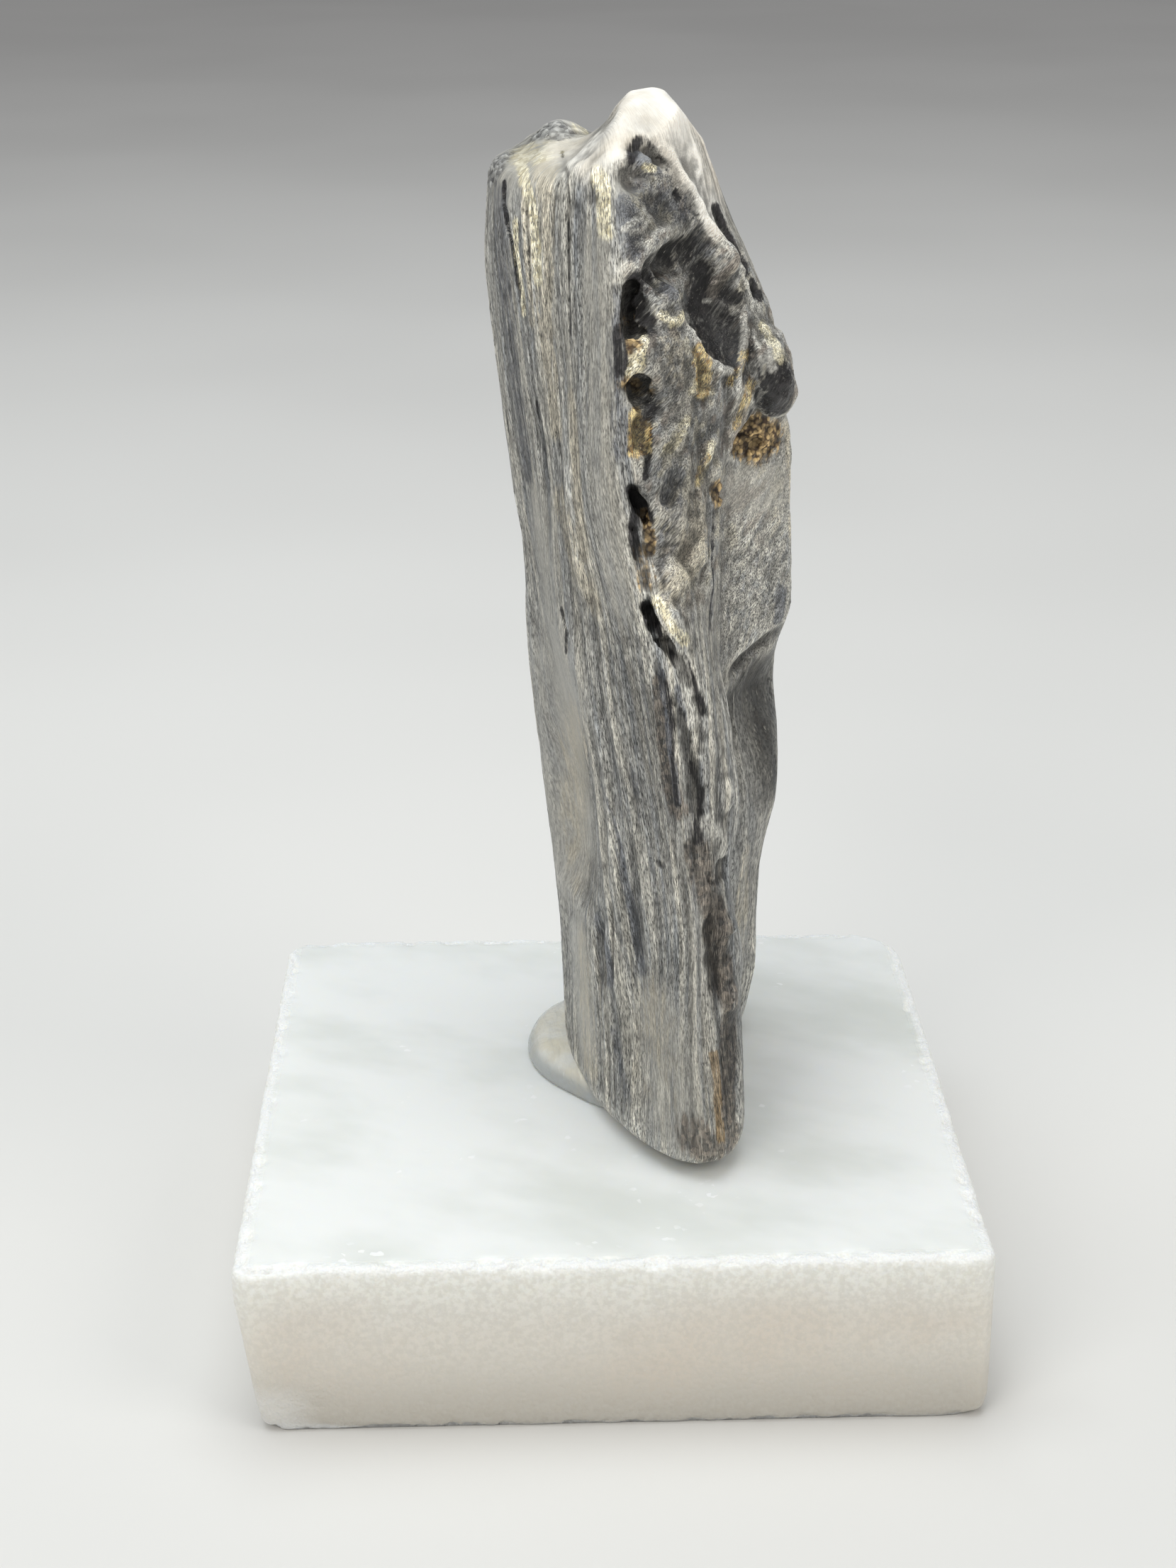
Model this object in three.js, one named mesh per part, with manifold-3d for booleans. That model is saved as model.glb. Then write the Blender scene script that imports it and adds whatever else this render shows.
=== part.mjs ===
// A piece of petrified wood glued upright on a square marble block.
// Millimetres, +Z up. The origin is the middle of the block's underside, +Y points to the back.
import * as THREE from "three";
import { mergeVertices } from "three/addons/utils/BufferGeometryUtils.js";
import Module from "manifold-3d";

const wasm = await Module();
wasm.setup();

// ---- Driving dimensions ----

const BLOCK_SIDE = 101.6; // a 4 in square block
const BLOCK_HEIGHT = 25.4; // 1 in thick
const CORNER_RADII = [2, 2, 9, 5]; // upright corners: front left, front right, back right, back left
const ARRIS = 1.1; // worn width of the block's top edge
const FOOT_WEAR = 0.8; // worn width of the block's bottom edge at the front and back
const FOOT_WEAR_LEFT = 6.4; // the same on the left side
const FOOT_WEAR_RIGHT = 4.6; // the same on the right side
const LEFT_LEAN = 3.4; // how far the block's left side runs in towards its bottom
const LEAN_TOP = 20.4; // height where the left side starts to run in
const SAW_WAVE = 0.1; // waviness of the sawn sides

const WOOD_HEIGHT = 150; // height at which the wood's walls are capped before the crown is cut
const ROW_STEP = 3.4; // height between two rings of the wood's wall
const SPAN_STEPS = 4; // wall points between two grain lines
const SOLE_GAP = 0.9; // the wood's underside stands this far above the block
const TIP_LIFT = 0.5; // further rise of the underside towards the front tip
const TIP_START = -6; // y where the underside starts to rise
const TIP_END = -26; // y where it has risen in full
const LIFT_FADE = 24; // height above the block where the wall no longer follows the underside's rise
const SOLE_ROUND = 3.4; // rounding of the wood's underside

const GLUE_CENTRE = [3.2, 8];
const GLUE_REACH = [14.6, 19]; // half widths of the glue along X and Y
const GLUE_THICKNESS = 3.4;
// The glue's side as [share of its thickness, share of its reach].
const GLUE_PROFILE = [[0, 0.97], [0.14, 1], [0.4, 0.985], [0.72, 0.93], [0.92, 0.84], [1, 0.7]];
const GLUE_WAVE = 0.03; // unevenness of the glue's outline
const GLUE_FLAT = 0.16; // how far the glue's front left stretch is flattened
const FLAT_ANGLE = 4.1; // where that stretch is round the glue's outline, in radians
const FLAT_SPREAD = 0.6; // and how far it reaches to each side
const GLUE_GAP = 0.3; // clearance between the glue and the wood
const GLUED_HEIGHT = 30; // height of the part of the wood that the glue is cut to

// The wood's wall follows twelve grain lines, counterclockwise seen from above.
// Each is a list of [height above the block, x, y].
const GRAIN_LINES = [
  [ // left edge
    [0, -5.2, 8], [8, -5.8, 13], [16, -5.9, 17], [29, -6.8, 19], [43, -8.3, 20], [63, -10.1, 21.5],
    [78, -10.7, 22.5], [86, -11.9, 23], [105, -14, 24], [120, -15.3, 25], [127, -15, 25.3], [150, -12, 26],
  ],
  [ // hollow of the left face
    [0, -3.4, -4], [12, -3.8, 1], [27, -3.6, 5], [33, -2, 6.5], [44, -2.2, 7], [55, -4.2, 7.5],
    [72, -7.8, 9], [90, -9.6, 11], [125, -11.6, 14], [150, -9.5, 14],
  ],
  [ // shoulder of the left face
    [0, 2.2, -19.6], [10, 1.2, -16], [20, -0.2, -11], [32, 1, -10.5], [44, 0.7, -11], [55, -0.1, -10],
    [63, -2.1, -8], [72, -4.8, -4], [92, -5.6, 0], [122, -5.8, 3], [150, -3.5, 6],
  ],
  [ // front left ridge
    [0, 11, -29.5], [5, 12.4, -30.2], [12, 12.8, -29.2], [33, 11.9, -27], [53, 12.5, -24.8], [62, 12.1, -23],
    [67, 11.1, -22], [72, 9.3, -21], [77, 7, -20], [81, 4.9, -19], [87, 3.3, -18], [103, 1.9, -16],
    [120, 2.3, -13], [128, 1.8, -10], [136, 0.4, -6], [150, 0, -3],
  ],
  [ // middle of the front
    [0, 16.4, -28.6], [5, 17, -28.6], [20, 17.1, -25.5], [43, 16, -22.5], [58, 15.8, -20.5], [68, 14, -18.5],
    [77, 11.5, -17.5], [88, 9.5, -15], [110, 10, -11], [121, 9.3, -7.6], [131, 7.8, -3.6], [150, 6, 2],
  ],
  [ // right ridge
    [0, 19.4, -20.5], [5, 19.9, -19], [12, 19.6, -16.5], [23, 19.2, -15], [28, 19.6, -14], [31, 19.2, -14],
    [36, 17.8, -14], [41, 17.3, -14], [50, 18.7, -13], [58, 17.9, -12], [65, 16.9, -11], [73, 14.9, -10],
    [91, 15.6, -8], [96, 16.3, -6], [101, 18.6, -2], [107, 22.3, 2.5], [114, 22.3, 5], [117, 20.7, 4],
    [120, 18.7, 3], [126, 15.7, 2], [131, 13.3, 2], [138, 10.9, 2], [150, 8, 4],
  ],
  [ // cleft behind the right ridge
    [0, 17, -2], [20, 16.2, 0], [42, 15.8, 1], [60, 16.3, 3], [67, 17.3, 5], [80, 17.1, 5.5],
    [92, 17.2, 7.5], [98, 18.6, 7], [104, 24.4, 7], [112, 23.6, 8.5], [117, 22.3, 9], [126, 18, 8.5],
    [135, 14.8, 7.5], [150, 9, 7],
  ],
  [ // middle of the right flank
    [0, 19.8, 8], [20, 21, 9], [42, 21.8, 10], [59, 21.6, 12.5], [64, 23.4, 11.8], [80, 23.3, 11.5],
    [92, 23.5, 12.5], [102, 25.6, 12], [109, 25.1, 12.5], [117, 22.5, 13.5], [127, 18.3, 13],
    [136, 14.7, 11.5], [150, 9, 10],
  ],
  [ // right edge
    [0, 21.4, 15.3], [4, 22.8, 16.4], [11, 24.5, 19], [28, 24.9, 22], [32, 25.9, 22], [38, 27.4, 22],
    [44, 27.5, 22], [57, 26.7, 21], [63, 26.4, 18.5], [66, 28, 18], [70, 28.8, 18], [85, 28.1, 18],
    [93, 28.2, 18], [98, 27.2, 18], [108, 25.2, 18.5], [117, 22.2, 19], [127, 17.8, 18.5],
    [136, 14.3, 17], [150, 9, 15],
  ],
  [ // right back corner
    [0, 17, 25], [20, 20, 29], [50, 21, 31], [80, 21, 30], [104, 18, 30], [122, 13, 28], [150, 7, 20],
  ],
  [ // back
    [0, 6, 28], [20, 7, 33], [50, 7, 36.5], [80, 6, 37.5], [104, 4, 36], [122, 2, 34], [150, 1, 27],
  ],
  [ // left back corner
    [0, -3, 20], [20, -4.5, 27], [50, -7, 31], [80, -8.6, 33], [110, -11, 34], [126, -11.4, 33],
    [150, -8, 29],
  ],
];

// The crown is the highest of four worn peaks. Each is the lowest of sloping planes,
// written as [height of the plane at the peak, x, y, rise per mm of x, rise per mm of y].
const PEAKS = {
  leftShoulder: [[133.7, -11, 24, 0.42, 0.1], [133.8, -11, 23, 0, 0.3], [134, -11, 25, -0.2, -0.6]],
  leftPeak: [
    [138.2, -5.4, 25, 1.15, 0.1], [138.3, -5, 25, -0.65, 0.1],
    [138.2, -5, 24.5, 0, 0.34], [138, -5, 26, 0, -0.7],
  ],
  rightLedge: [
    [139.6, 2.7, 11, 0.9, 0], [139.9, 2.7, 9, 0.1, 0.42], [139.6, 2.7, 13, 0, -0.7], [139.8, 4, 11, -0.6, 0],
  ],
  rightPeak: [
    [143.4, 7.5, 8, 0.14, 0.05], [142.2, 3.4, 8, 2, -0.05], [143.5, 9.1, 8, -1.35, -0.15],
    [143.8, 7, 6.5, -0.12, 0.72], [143.4, 7, 11, 0.1, -0.75],
  ],
};
const PEAK_BLEND = 0.6; // width over which two planes of the crown run together
const CROWN_SPAN = { left: -27, right: 39, front: -36, back: 48 }; // ground covered by the crown
const CROWN_STEP = 1.5; // distance between two points of the crown's surface

// Ellipsoids cut out of the wood or grown onto it: centre above the block, half axes, and turns
// about X, Y and Z in degrees.
const CUTS = {
  deepHole: [[4.6, -15, 118.6], [1.8, 6, 4], [0, 4, 14]],
  middleHole: [[4.9, -16, 108.2], [1.5, 5, 2.2], [0, 8, 14]],
  yellowPit: [[5, -16.2, 103], [1.3, 2.4, 3], [0, 0, 14]],
  slitHole: [[5.3, -17.4, 93.8], [1.3, 5, 3.8], [0, -16, 16]],
  slitFoot: [[6, -17.8, 88.8], [1.1, 2.2, 2.6], [0, -6, 16]],
  crack: [[6.8, -20.2, 79.4], [0.9, 2.6, 3.4], [0, -32, 20]],
  dish: [[18.5, -5.8, 119.8], [8.4, 9, 14.5], [0, -24, 50]],
  lowerDish: [[12.5, -17, 107], [3.8, 4.6, 5.5], [10, 0, -12]],
  clayPocket: [[20.8, 7.6, 95.7], [3.2, 4.6, 3.6], [0, 0, -25]],
  ridgePit: [[16.2, -8.2, 93], [1.1, 1.6, 1.7], [0, 20, 0]],
  crownPit: [[5.6, -6, 134.6], [3.6, 3.2, 2.2], [24, 0, 0]],
  backHollow: [[0, 44, 70], [7, 9.5, 26], [4, 6, 10]],
  backPit: [[9, 38, 108], [2.4, 4, 4.2], [0, 10, 0]],
};
const KNOB = [[22.7, 5.3, 107], [4.1, 4.8, 7.4], [0, -20, -18]];

// The split that runs from the lowest hole down the front, as points on the wall.
const SPLIT_ROUTE = [
  [5.8, -19, 82], [8, -20, 76.6], [10.4, -21, 71.4], [12.4, -22.2, 66], [13.4, -22.8, 61],
];
const SPLIT_RADIUS = 1.1;

// ---- Shared geometry helpers ----

// Height in between the keys of a grain line: a smooth run with no overshoot.
function alongLine(keys, height) {
  const last = keys.length - 2;
  const k = Math.min(last, Math.max(0, keys.findIndex((key) => key[0] > height) - 1));
  const i = height >= keys[last + 1][0] ? last : k;
  const [from, to] = [keys[i], keys[i + 1]];
  const before = keys[Math.max(0, i - 1)];
  const after = keys[Math.min(last + 1, i + 2)];
  const span = to[0] - from[0];
  const t = Math.min(1, Math.max(0, (height - from[0]) / span));
  return [1, 2].map((axis) => {
    const slope = (to[axis] - from[axis]) / span;
    const slopeIn = limitedSlope(before, from, to, axis, slope);
    const slopeOut = limitedSlope(from, to, after, axis, slope);
    const bend = (3 * slope - 2 * slopeIn - slopeOut) * span;
    const turn = (slopeIn + slopeOut - 2 * slope) * span;
    return from[axis] + t * (slopeIn * span + t * (bend + t * turn));
  });
}

// Slope of a grain line at its middle key of three.
function limitedSlope(before, at, after, axis, fallback) {
  if (before === at || at === after) return fallback;
  const left = (at[axis] - before[axis]) / (at[0] - before[0]);
  const right = (after[axis] - at[axis]) / (after[0] - at[0]);
  return left * right <= 0 ? 0 : (2 * left * right) / (left + right);
}

// A closed body from rings of equally many points, counterclockwise seen from above, bottom first.
function bodyFromRings(rings) {
  const count = rings[0].length;
  const positions = [];
  const faces = [];
  rings.flat().forEach((p) => positions.push(p.x, p.y, p.z));
  for (let row = 0; row + 1 < rings.length; row++)
    for (let i = 0; i < count; i++) {
      const a = row * count + i;
      const b = row * count + ((i + 1) % count);
      faces.push(a, b, b + count, a, b + count, a + count);
    }
  const middle = (ring) => ring.reduce((sum, p) => sum.add(p), new THREE.Vector3()).divideScalar(count);
  const bottom = middle(rings[0]);
  const top = middle(rings[rings.length - 1]);
  positions.push(bottom.x, bottom.y, bottom.z, top.x, top.y, top.z);
  const bottomIndex = rings.length * count;
  const lastRow = (rings.length - 1) * count;
  for (let i = 0; i < count; i++) {
    const j = (i + 1) % count;
    faces.push(bottomIndex, j, i, bottomIndex + 1, lastRow + i, lastRow + j);
  }
  const body = new THREE.BufferGeometry();
  body.setAttribute("position", new THREE.Float32BufferAttribute(positions, 3));
  body.setIndex(faces);
  return body;
}

function solidFrom(geometry) {
  const bare = geometry.clone();
  bare.deleteAttribute("normal");
  bare.deleteAttribute("uv");
  const merged = mergeVertices(bare, 1e-4);
  const mesh = new wasm.Mesh({
    numProp: 3,
    vertProperties: new Float32Array(merged.attributes.position.array),
    triVerts: new Uint32Array(merged.index.array),
  });
  return new wasm.Manifold(mesh);
}

function geometryFrom(solid) {
  const mesh = solid.getMesh();
  const geometry = new THREE.BufferGeometry();
  geometry.setAttribute("position", new THREE.Float32BufferAttribute(mesh.vertProperties, 3));
  geometry.setIndex(new THREE.Uint32BufferAttribute(mesh.triVerts, 1));
  geometry.computeVertexNormals();
  return geometry;
}

// An ellipsoid with its centre given above the block.
function ellipsoid([centre, halfAxes, turns], around = 16, rows = 9) {
  const ball = new THREE.SphereGeometry(1, around, rows);
  const turn = new THREE.Euler(...turns.map(THREE.MathUtils.degToRad));
  ball.scale(...halfAxes);
  ball.applyMatrix4(new THREE.Matrix4().makeRotationFromEuler(turn));
  ball.translate(centre[0], centre[1], centre[2] + BLOCK_HEIGHT);
  return solidFrom(ball);
}

function stoneMaterial(color, roughness) {
  return new THREE.MeshStandardMaterial({ color, roughness, metalness: 0 });
}

// ---- Marble block ----

// Points of the block's outline: straight sawn sides between four worn upright corners.
function blockOutline() {
  const half = BLOCK_SIDE / 2;
  const arcSteps = 6;
  const sideSteps = 6;
  const corners = [
    { x: -half, y: -half, from: Math.PI }, { x: half, y: -half, from: 1.5 * Math.PI },
    { x: half, y: half, from: 0 }, { x: -half, y: half, from: 0.5 * Math.PI },
  ];
  const outline = [];
  corners.forEach((corner, c) => {
    const radius = CORNER_RADII[c];
    const cx = corner.x - Math.sign(corner.x) * radius;
    const cy = corner.y - Math.sign(corner.y) * radius;
    for (let i = 0; i <= arcSteps; i++) {
      const angle = corner.from + (i / arcSteps) * (Math.PI / 2);
      const normal = new THREE.Vector2(Math.cos(angle), Math.sin(angle));
      outline.push({ at: new THREE.Vector2(cx + radius * normal.x, cy + radius * normal.y), normal });
    }
    const here = outline[outline.length - 1];
    const next = corners[(c + 1) % corners.length];
    const nextRadius = CORNER_RADII[(c + 1) % corners.length];
    const end = new THREE.Vector2(next.x, next.y).addScaledVector(
      new THREE.Vector2(next.x - corner.x, next.y - corner.y).normalize(), -nextRadius);
    for (let i = 1; i < sideSteps; i++)
      outline.push({ at: here.at.clone().lerp(end, i / sideSteps), normal: here.normal });
  });
  return outline;
}

function makeBlock() {
  // Each row is [height, share of the bottom wear, share of the top arris, share of the saw's waviness].
  const rows = [
    [0, 1, 0, 0], [0.4, 0.42, 0, 0], [1.3, 0.15, 0, 0.5], [3, 0.03, 0, 1], [7, 0, 0, 1], [11, 0, 0, 1],
    [16, 0, 0, 1], [LEAN_TOP, 0, 0, 1], [BLOCK_HEIGHT - ARRIS, 0, 0, 0],
    [BLOCK_HEIGHT - ARRIS * 0.4, 0, 0.22, 0], [BLOCK_HEIGHT, 0, 1, 0],
  ];
  const half = BLOCK_SIDE / 2;
  const outline = blockOutline();
  const rings = rows.map(([z, footShare, arrisShare, waveShare]) => {
    const lean = LEFT_LEAN * Math.max(0, 1 - z / LEAN_TOP) ** 0.9;
    const leftScale = 1 - (FOOT_WEAR_LEFT * footShare + lean) / half;
    const rightScale = 1 - (FOOT_WEAR_RIGHT * footShare) / half;
    const depthScale = 1 - (FOOT_WEAR * footShare) / half;
    return outline.map(({ at, normal }, i) => {
      const wave = SAW_WAVE * (1 + Math.sin(i * 1.7 + z * 0.35) * Math.cos(i * 0.6 - z * 0.5));
      const inset = ARRIS * arrisShare + wave * waveShare;
      const x = at.x * (at.x < 0 ? leftScale : rightScale) - normal.x * inset;
      return new THREE.Vector3(x, at.y * depthScale - normal.y * inset, z);
    });
  });
  const block = new THREE.Mesh(bodyFromRings(rings), stoneMaterial(0xe4e6e2, 0.42));
  block.name = "marble_base";
  return block;
}

// ---- Petrified wood ----

// The wall's outline at one height, grown outwards by the given clearance.
function woodOutline(height, clearance) {
  const knots = GRAIN_LINES.map((keys) => new THREE.Vector3(...alongLine(keys, height), 0));
  const loop = new THREE.CatmullRomCurve3(knots, true, "centripetal");
  const count = GRAIN_LINES.length * SPAN_STEPS;
  return Array.from({ length: count }, (_, i) => {
    const point = loop.getPoint(i / count);
    const along = loop.getTangent(i / count);
    return new THREE.Vector2(point.x + along.y * clearance, point.y - along.x * clearance);
  });
}

// How high the wood's underside stands above the block: it rises towards the front tip.
function soleHeight(y, clearance) {
  const rise = THREE.MathUtils.smoothstep(-y, -TIP_START, -TIP_END) * TIP_LIFT;
  return SOLE_GAP + rise - clearance;
}

function woodWall(clearance = 0, top = WOOD_HEIGHT) {
  const soleRows = [0, 0.12, 0.35, 0.65, 1].map((share) => share * SOLE_ROUND);
  const wallRows = [];
  for (let height = SOLE_ROUND + ROW_STEP; height <= top; height += ROW_STEP) wallRows.push(height);
  const rings = [...soleRows, ...wallRows].map((height) => {
    const outline = woodOutline(height, clearance);
    const middle = outline.reduce((sum, p) => sum.add(p), new THREE.Vector2()).divideScalar(outline.length);
    const depth = Math.max(0, 1 - height / SOLE_ROUND);
    const drawnIn = SOLE_ROUND * (1 - Math.sqrt(1 - depth * depth));
    return outline.map((p) => {
      const at = p.clone().lerp(middle, drawnIn / p.distanceTo(middle));
      const lifted = Math.max(0, 1 - height / LIFT_FADE) * soleHeight(at.y, clearance);
      return new THREE.Vector3(at.x, at.y, BLOCK_HEIGHT + height + lifted);
    });
  });
  return solidFrom(bodyFromRings(rings));
}

// The lower of several heights, run together where they are close.
function smoothLowest(heights) {
  const lowest = Math.min(...heights);
  const sum = heights.reduce((total, h) => total + Math.exp((lowest - h) / PEAK_BLEND), 0);
  return lowest - PEAK_BLEND * Math.log(sum);
}

function crownHeight(x, y) {
  const planeHeight = ([top, px, py, riseX, riseY]) => top + PEAK_BLEND + (x - px) * riseX + (y - py) * riseY;
  const peakHeight = (planes) => smoothLowest(planes.map(planeHeight));
  return Math.max(...Object.values(PEAKS).map(peakHeight));
}

// Everything under the crown: a box whose top is the crown's surface.
function underCrown() {
  const { left, right, front, back } = CROWN_SPAN;
  const columns = Math.round((right - left) / CROWN_STEP);
  const rows = Math.round((back - front) / CROWN_STEP);
  const box = new THREE.BoxGeometry(right - left, back - front, 1, columns, rows, 1);
  box.translate((left + right) / 2, (front + back) / 2, 0);
  const position = box.attributes.position;
  for (let i = 0; i < position.count; i++) {
    const [x, y] = [position.getX(i), position.getY(i)];
    position.setZ(i, position.getZ(i) > 0 ? BLOCK_HEIGHT + crownHeight(x, y) : BLOCK_HEIGHT - 10);
  }
  return solidFrom(box);
}

// The open split down the front, cut as a tapering tube.
function splitTube() {
  const points = SPLIT_ROUTE.map(([x, y, z]) => new THREE.Vector3(x, y, z + BLOCK_HEIGHT));
  const route = new THREE.CatmullRomCurve3(points);
  const section = new THREE.Shape().absellipse(0, 0, SPLIT_RADIUS, SPLIT_RADIUS, 0, 2 * Math.PI);
  return solidFrom(new THREE.ExtrudeGeometry(section, { extrudePath: route, steps: 16, curveSegments: 4 }));
}

function makeWood() {
  let wood = woodWall().intersect(underCrown());
  wood = wood.add(ellipsoid(KNOB));
  for (const cut of Object.values(CUTS)) wood = wood.subtract(ellipsoid(cut));
  wood = wood.subtract(splitTube());
  const mesh = new THREE.Mesh(geometryFrom(wood), stoneMaterial(0x77787a, 0.72));
  mesh.name = "petrified_wood";
  return mesh;
}

// ---- Glue ----

// A flat-topped puddle of clear glue round the wood's foot.
function makeGlue() {
  const around = 56;
  const rings = GLUE_PROFILE.map(([level, spread]) => Array.from({ length: around }, (_, i) => {
    const angle = (i / around) * 2 * Math.PI;
    const flattened = GLUE_FLAT * Math.exp(-(((angle - FLAT_ANGLE) / FLAT_SPREAD) ** 2));
    const lobe = 1 + GLUE_WAVE * Math.sin(3 * angle + 0.6) - flattened;
    return new THREE.Vector3(
      GLUE_CENTRE[0] + GLUE_REACH[0] * spread * lobe * Math.cos(angle),
      GLUE_CENTRE[1] + GLUE_REACH[1] * spread * lobe * Math.sin(angle),
      BLOCK_HEIGHT + level * GLUE_THICKNESS,
    );
  }));
  const glue = solidFrom(bodyFromRings(rings)).subtract(woodWall(GLUE_GAP, GLUED_HEIGHT));
  const material = new THREE.MeshStandardMaterial({ color: 0xd9dddc, roughness: 0.12, metalness: 0 });
  material.transparent = true;
  material.opacity = 0.5;
  const mesh = new THREE.Mesh(geometryFrom(glue), material);
  mesh.name = "clear_glue";
  return mesh;
}

const specimen = new THREE.Group();
specimen.add(makeBlock(), makeWood(), makeGlue());
export default specimen;
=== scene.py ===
"""The looks of a piece of petrified wood glued upright on a square marble block.

Lengths in the tables are millimetres. Heights on the wood are above the block's top.
"""

import math

import bpy
import numpy as np
from mathutils import Matrix, Vector
from mathutils.bvhtree import BVHTree


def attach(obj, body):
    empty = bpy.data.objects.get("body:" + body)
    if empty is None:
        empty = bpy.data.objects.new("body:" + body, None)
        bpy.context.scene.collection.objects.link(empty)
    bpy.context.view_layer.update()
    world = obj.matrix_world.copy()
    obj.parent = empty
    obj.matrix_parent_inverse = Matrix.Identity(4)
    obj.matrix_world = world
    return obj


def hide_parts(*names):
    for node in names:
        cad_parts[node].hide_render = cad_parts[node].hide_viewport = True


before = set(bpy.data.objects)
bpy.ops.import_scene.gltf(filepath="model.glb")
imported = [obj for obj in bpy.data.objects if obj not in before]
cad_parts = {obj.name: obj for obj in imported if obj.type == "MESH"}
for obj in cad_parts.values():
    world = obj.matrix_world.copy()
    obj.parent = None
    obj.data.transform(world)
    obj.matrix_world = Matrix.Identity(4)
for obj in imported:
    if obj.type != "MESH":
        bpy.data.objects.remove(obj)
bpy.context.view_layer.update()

MM = 0.001
BLOCK_TOP = 25.4
ABOVE_BLOCK = (0, 0, BLOCK_TOP)

# ---- The block ----
BLOCK_HALF = 50.8
CORNER_SIGNS = ((-1, -1), (1, -1), (1, 1), (-1, 1))  # front left, front right, back right, back left
CORNER_RADII = (2.0, 2.0, 9.0, 5.0)
ARRIS = 1.1
ARRIS_CURVE = ((0.3, 0.08), (0.6, 0.22), (0.82, 0.5), (0.95, 0.78))  # shares of its height and its inset
# Start, end and step of the heights of the wall's rows.
WALL_ROWS = ((0.0, 0.1, 1.0), (0.15, 3, 0.3), (3, 7, 0.6), (7, 21.5, 1.1), (21.6, BLOCK_TOP - ARRIS, 0.33))
# How far in from the arris the rows of the top are.
TOP_INSETS = (0, 0.3, 0.6, 1.0, 1.5, 2.2, 3.2, 5, 8, 13, 20, 30, 42)
FOOT_WEAR = {"front": 0.8, "left": 2.0, "right": 3.0}
# How the wear of the foot fades with height.
WEAR_HEIGHTS, WEAR_SHARES = (0, 0.4, 1.3, 3, 7), (1, 0.42, 0.15, 0.03, 0)
LEFT_LEAN = 2.6  # how far the left side runs in at its foot
LEAN_TOP = 20.4  # height that it runs in below
OUTLINE_STEP = 0.4  # distance between two points of the block's outline
CHIP_DEPTH = 0.75  # deepest chip in the block's edges
CHIP_REACH = 0.9  # how far from an edge the chips go
FOOT_PITTING = 0.35  # how deep the left foot is pitted
LEFT_FOOT_X, LEFT_FOOT_HEIGHTS = (-30, -46), (15, 4)  # where it starts and where it is full

# ---- The glue ----
GLUE_MIDDLE = (3.2, 8)
GLUE_HALF = (14.6, 19)
GLUE_THICK = 3.4
GLUE_SUNK = 0.05  # how far its underside lies in the block
GLUE_POINTS = 220
GLUE_FLAT = 0.16  # how much the front left stretch is flattened
GLUE_FLAT_ANGLE, GLUE_FLAT_REACH = 4.1, 0.6
GLUE_LOBES, GLUE_LOBE_SIZE, GLUE_LOBE_TURN = 3, 0.03, 0.6
GLUE_RIPPLE, RIPPLE_SIZE, RIPPLE_FROM = 0.25, (5, 5, 4), 1.2  # depth, lengths and lowest height
GLUE_LEVELS = (0, 0.05, 0.14, 0.27, 0.4, 0.56, 0.72, 0.84, 0.92, 0.975, 1, 1, 1)
GLUE_SPREADS = (0.965, 0.985, 1, 0.998, 0.985, 0.965, 0.93, 0.89, 0.84, 0.77, 0.68, 0.5, 0.25)

# ---- Colours, as red, green and blue from 0 to 255 ----
STONE_DARK, STONE_LIGHT = (141, 141, 138), (179, 175, 164)
STONE_CLOUD, STONE_BLUISH = (156, 155, 150), (113, 118, 124)
SMEAR_BROWN, SMEAR_PALE = (116, 104, 92), (176, 169, 148)
CHECK_DARK, GLINT = (52, 53, 58), (206, 202, 190)
# Painted light on the block: the top is cooler than the warmer sides, and the sides darken towards the
# foot and brighten under the top edge.
TOP_WHITE, TOP_VEIL = (241, 243, 241), (219, 222, 217)
SIDE_FOOT, SIDE_MIDDLE, SIDE_TOP = (196, 191, 181), (232, 228, 219), (246, 247, 242)
SIDE_WARM, SIDE_GRAIN = (222, 208, 191), (208, 205, 196)
FLECK_WHITE, CHIP_WHITE = (252, 253, 253), (243, 244, 243)
GLUE_CLEAR, GLUE_MILKY, GLUE_SWIRL = (255, 254, 246), (250, 243, 222), (212, 217, 219)
# GLUE_WALL is painted shade on the glue's side wall.
GLUE_WALL, GLUE_THROUGH = (158, 167, 174), (226, 232, 230)
FLOOR_LIGHT, FLOOR_DARK = (226, 225, 222), (221, 220, 217)

# The wood's stains and painted shade and light, in the order in which they are laid: strength, colour
# and, where a stain's grains or clouds differ, its second colour. The dark marks are mostly painted
# shade, the pale ones partly painted highlight and the worn ones partly painted light.
WOOD_STAINS_AND_PAINTED_LIGHT = {
    "beige": (0.7, (176, 168, 150)),
    "brown": (0.8, (28, 24, 22), (124, 113, 101)),
    "slate": (0.8, (74, 78, 86), (104, 106, 110)),
    "dark": (0.97, (14, 14, 16), (46, 44, 46)),
    "pale": (0.7, (196, 194, 186)),
    "cream": (0.95, (178, 168, 136), (236, 230, 206)),
    "yellow": (0.95, (138, 104, 50), (228, 208, 152)),
    "amber": (0.7, (146, 122, 86)),
    "worn": (0.9, (234, 231, 223), (206, 198, 184)),
    "clay": (0.95, (66, 46, 24), (210, 180, 128)),
    "crystal": (0.8, (62, 62, 66), (176, 176, 172)),
}

# ---- The stage, in metres ----
FLOOR_HALF = 4.0
COOL_LIGHT, WARM_LIGHT = (0.93, 0.98, 1.0), (1.0, 0.97, 0.92)
LENS = 60.02
CAMERA_PLACE = (-0.01066, -0.34688, 0.21354)
CAMERA_RIGHT = (0.99959, -0.02784, -0.00633)
CAMERA_AHEAD = (0.02345, 0.92698, -0.37438)

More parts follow.
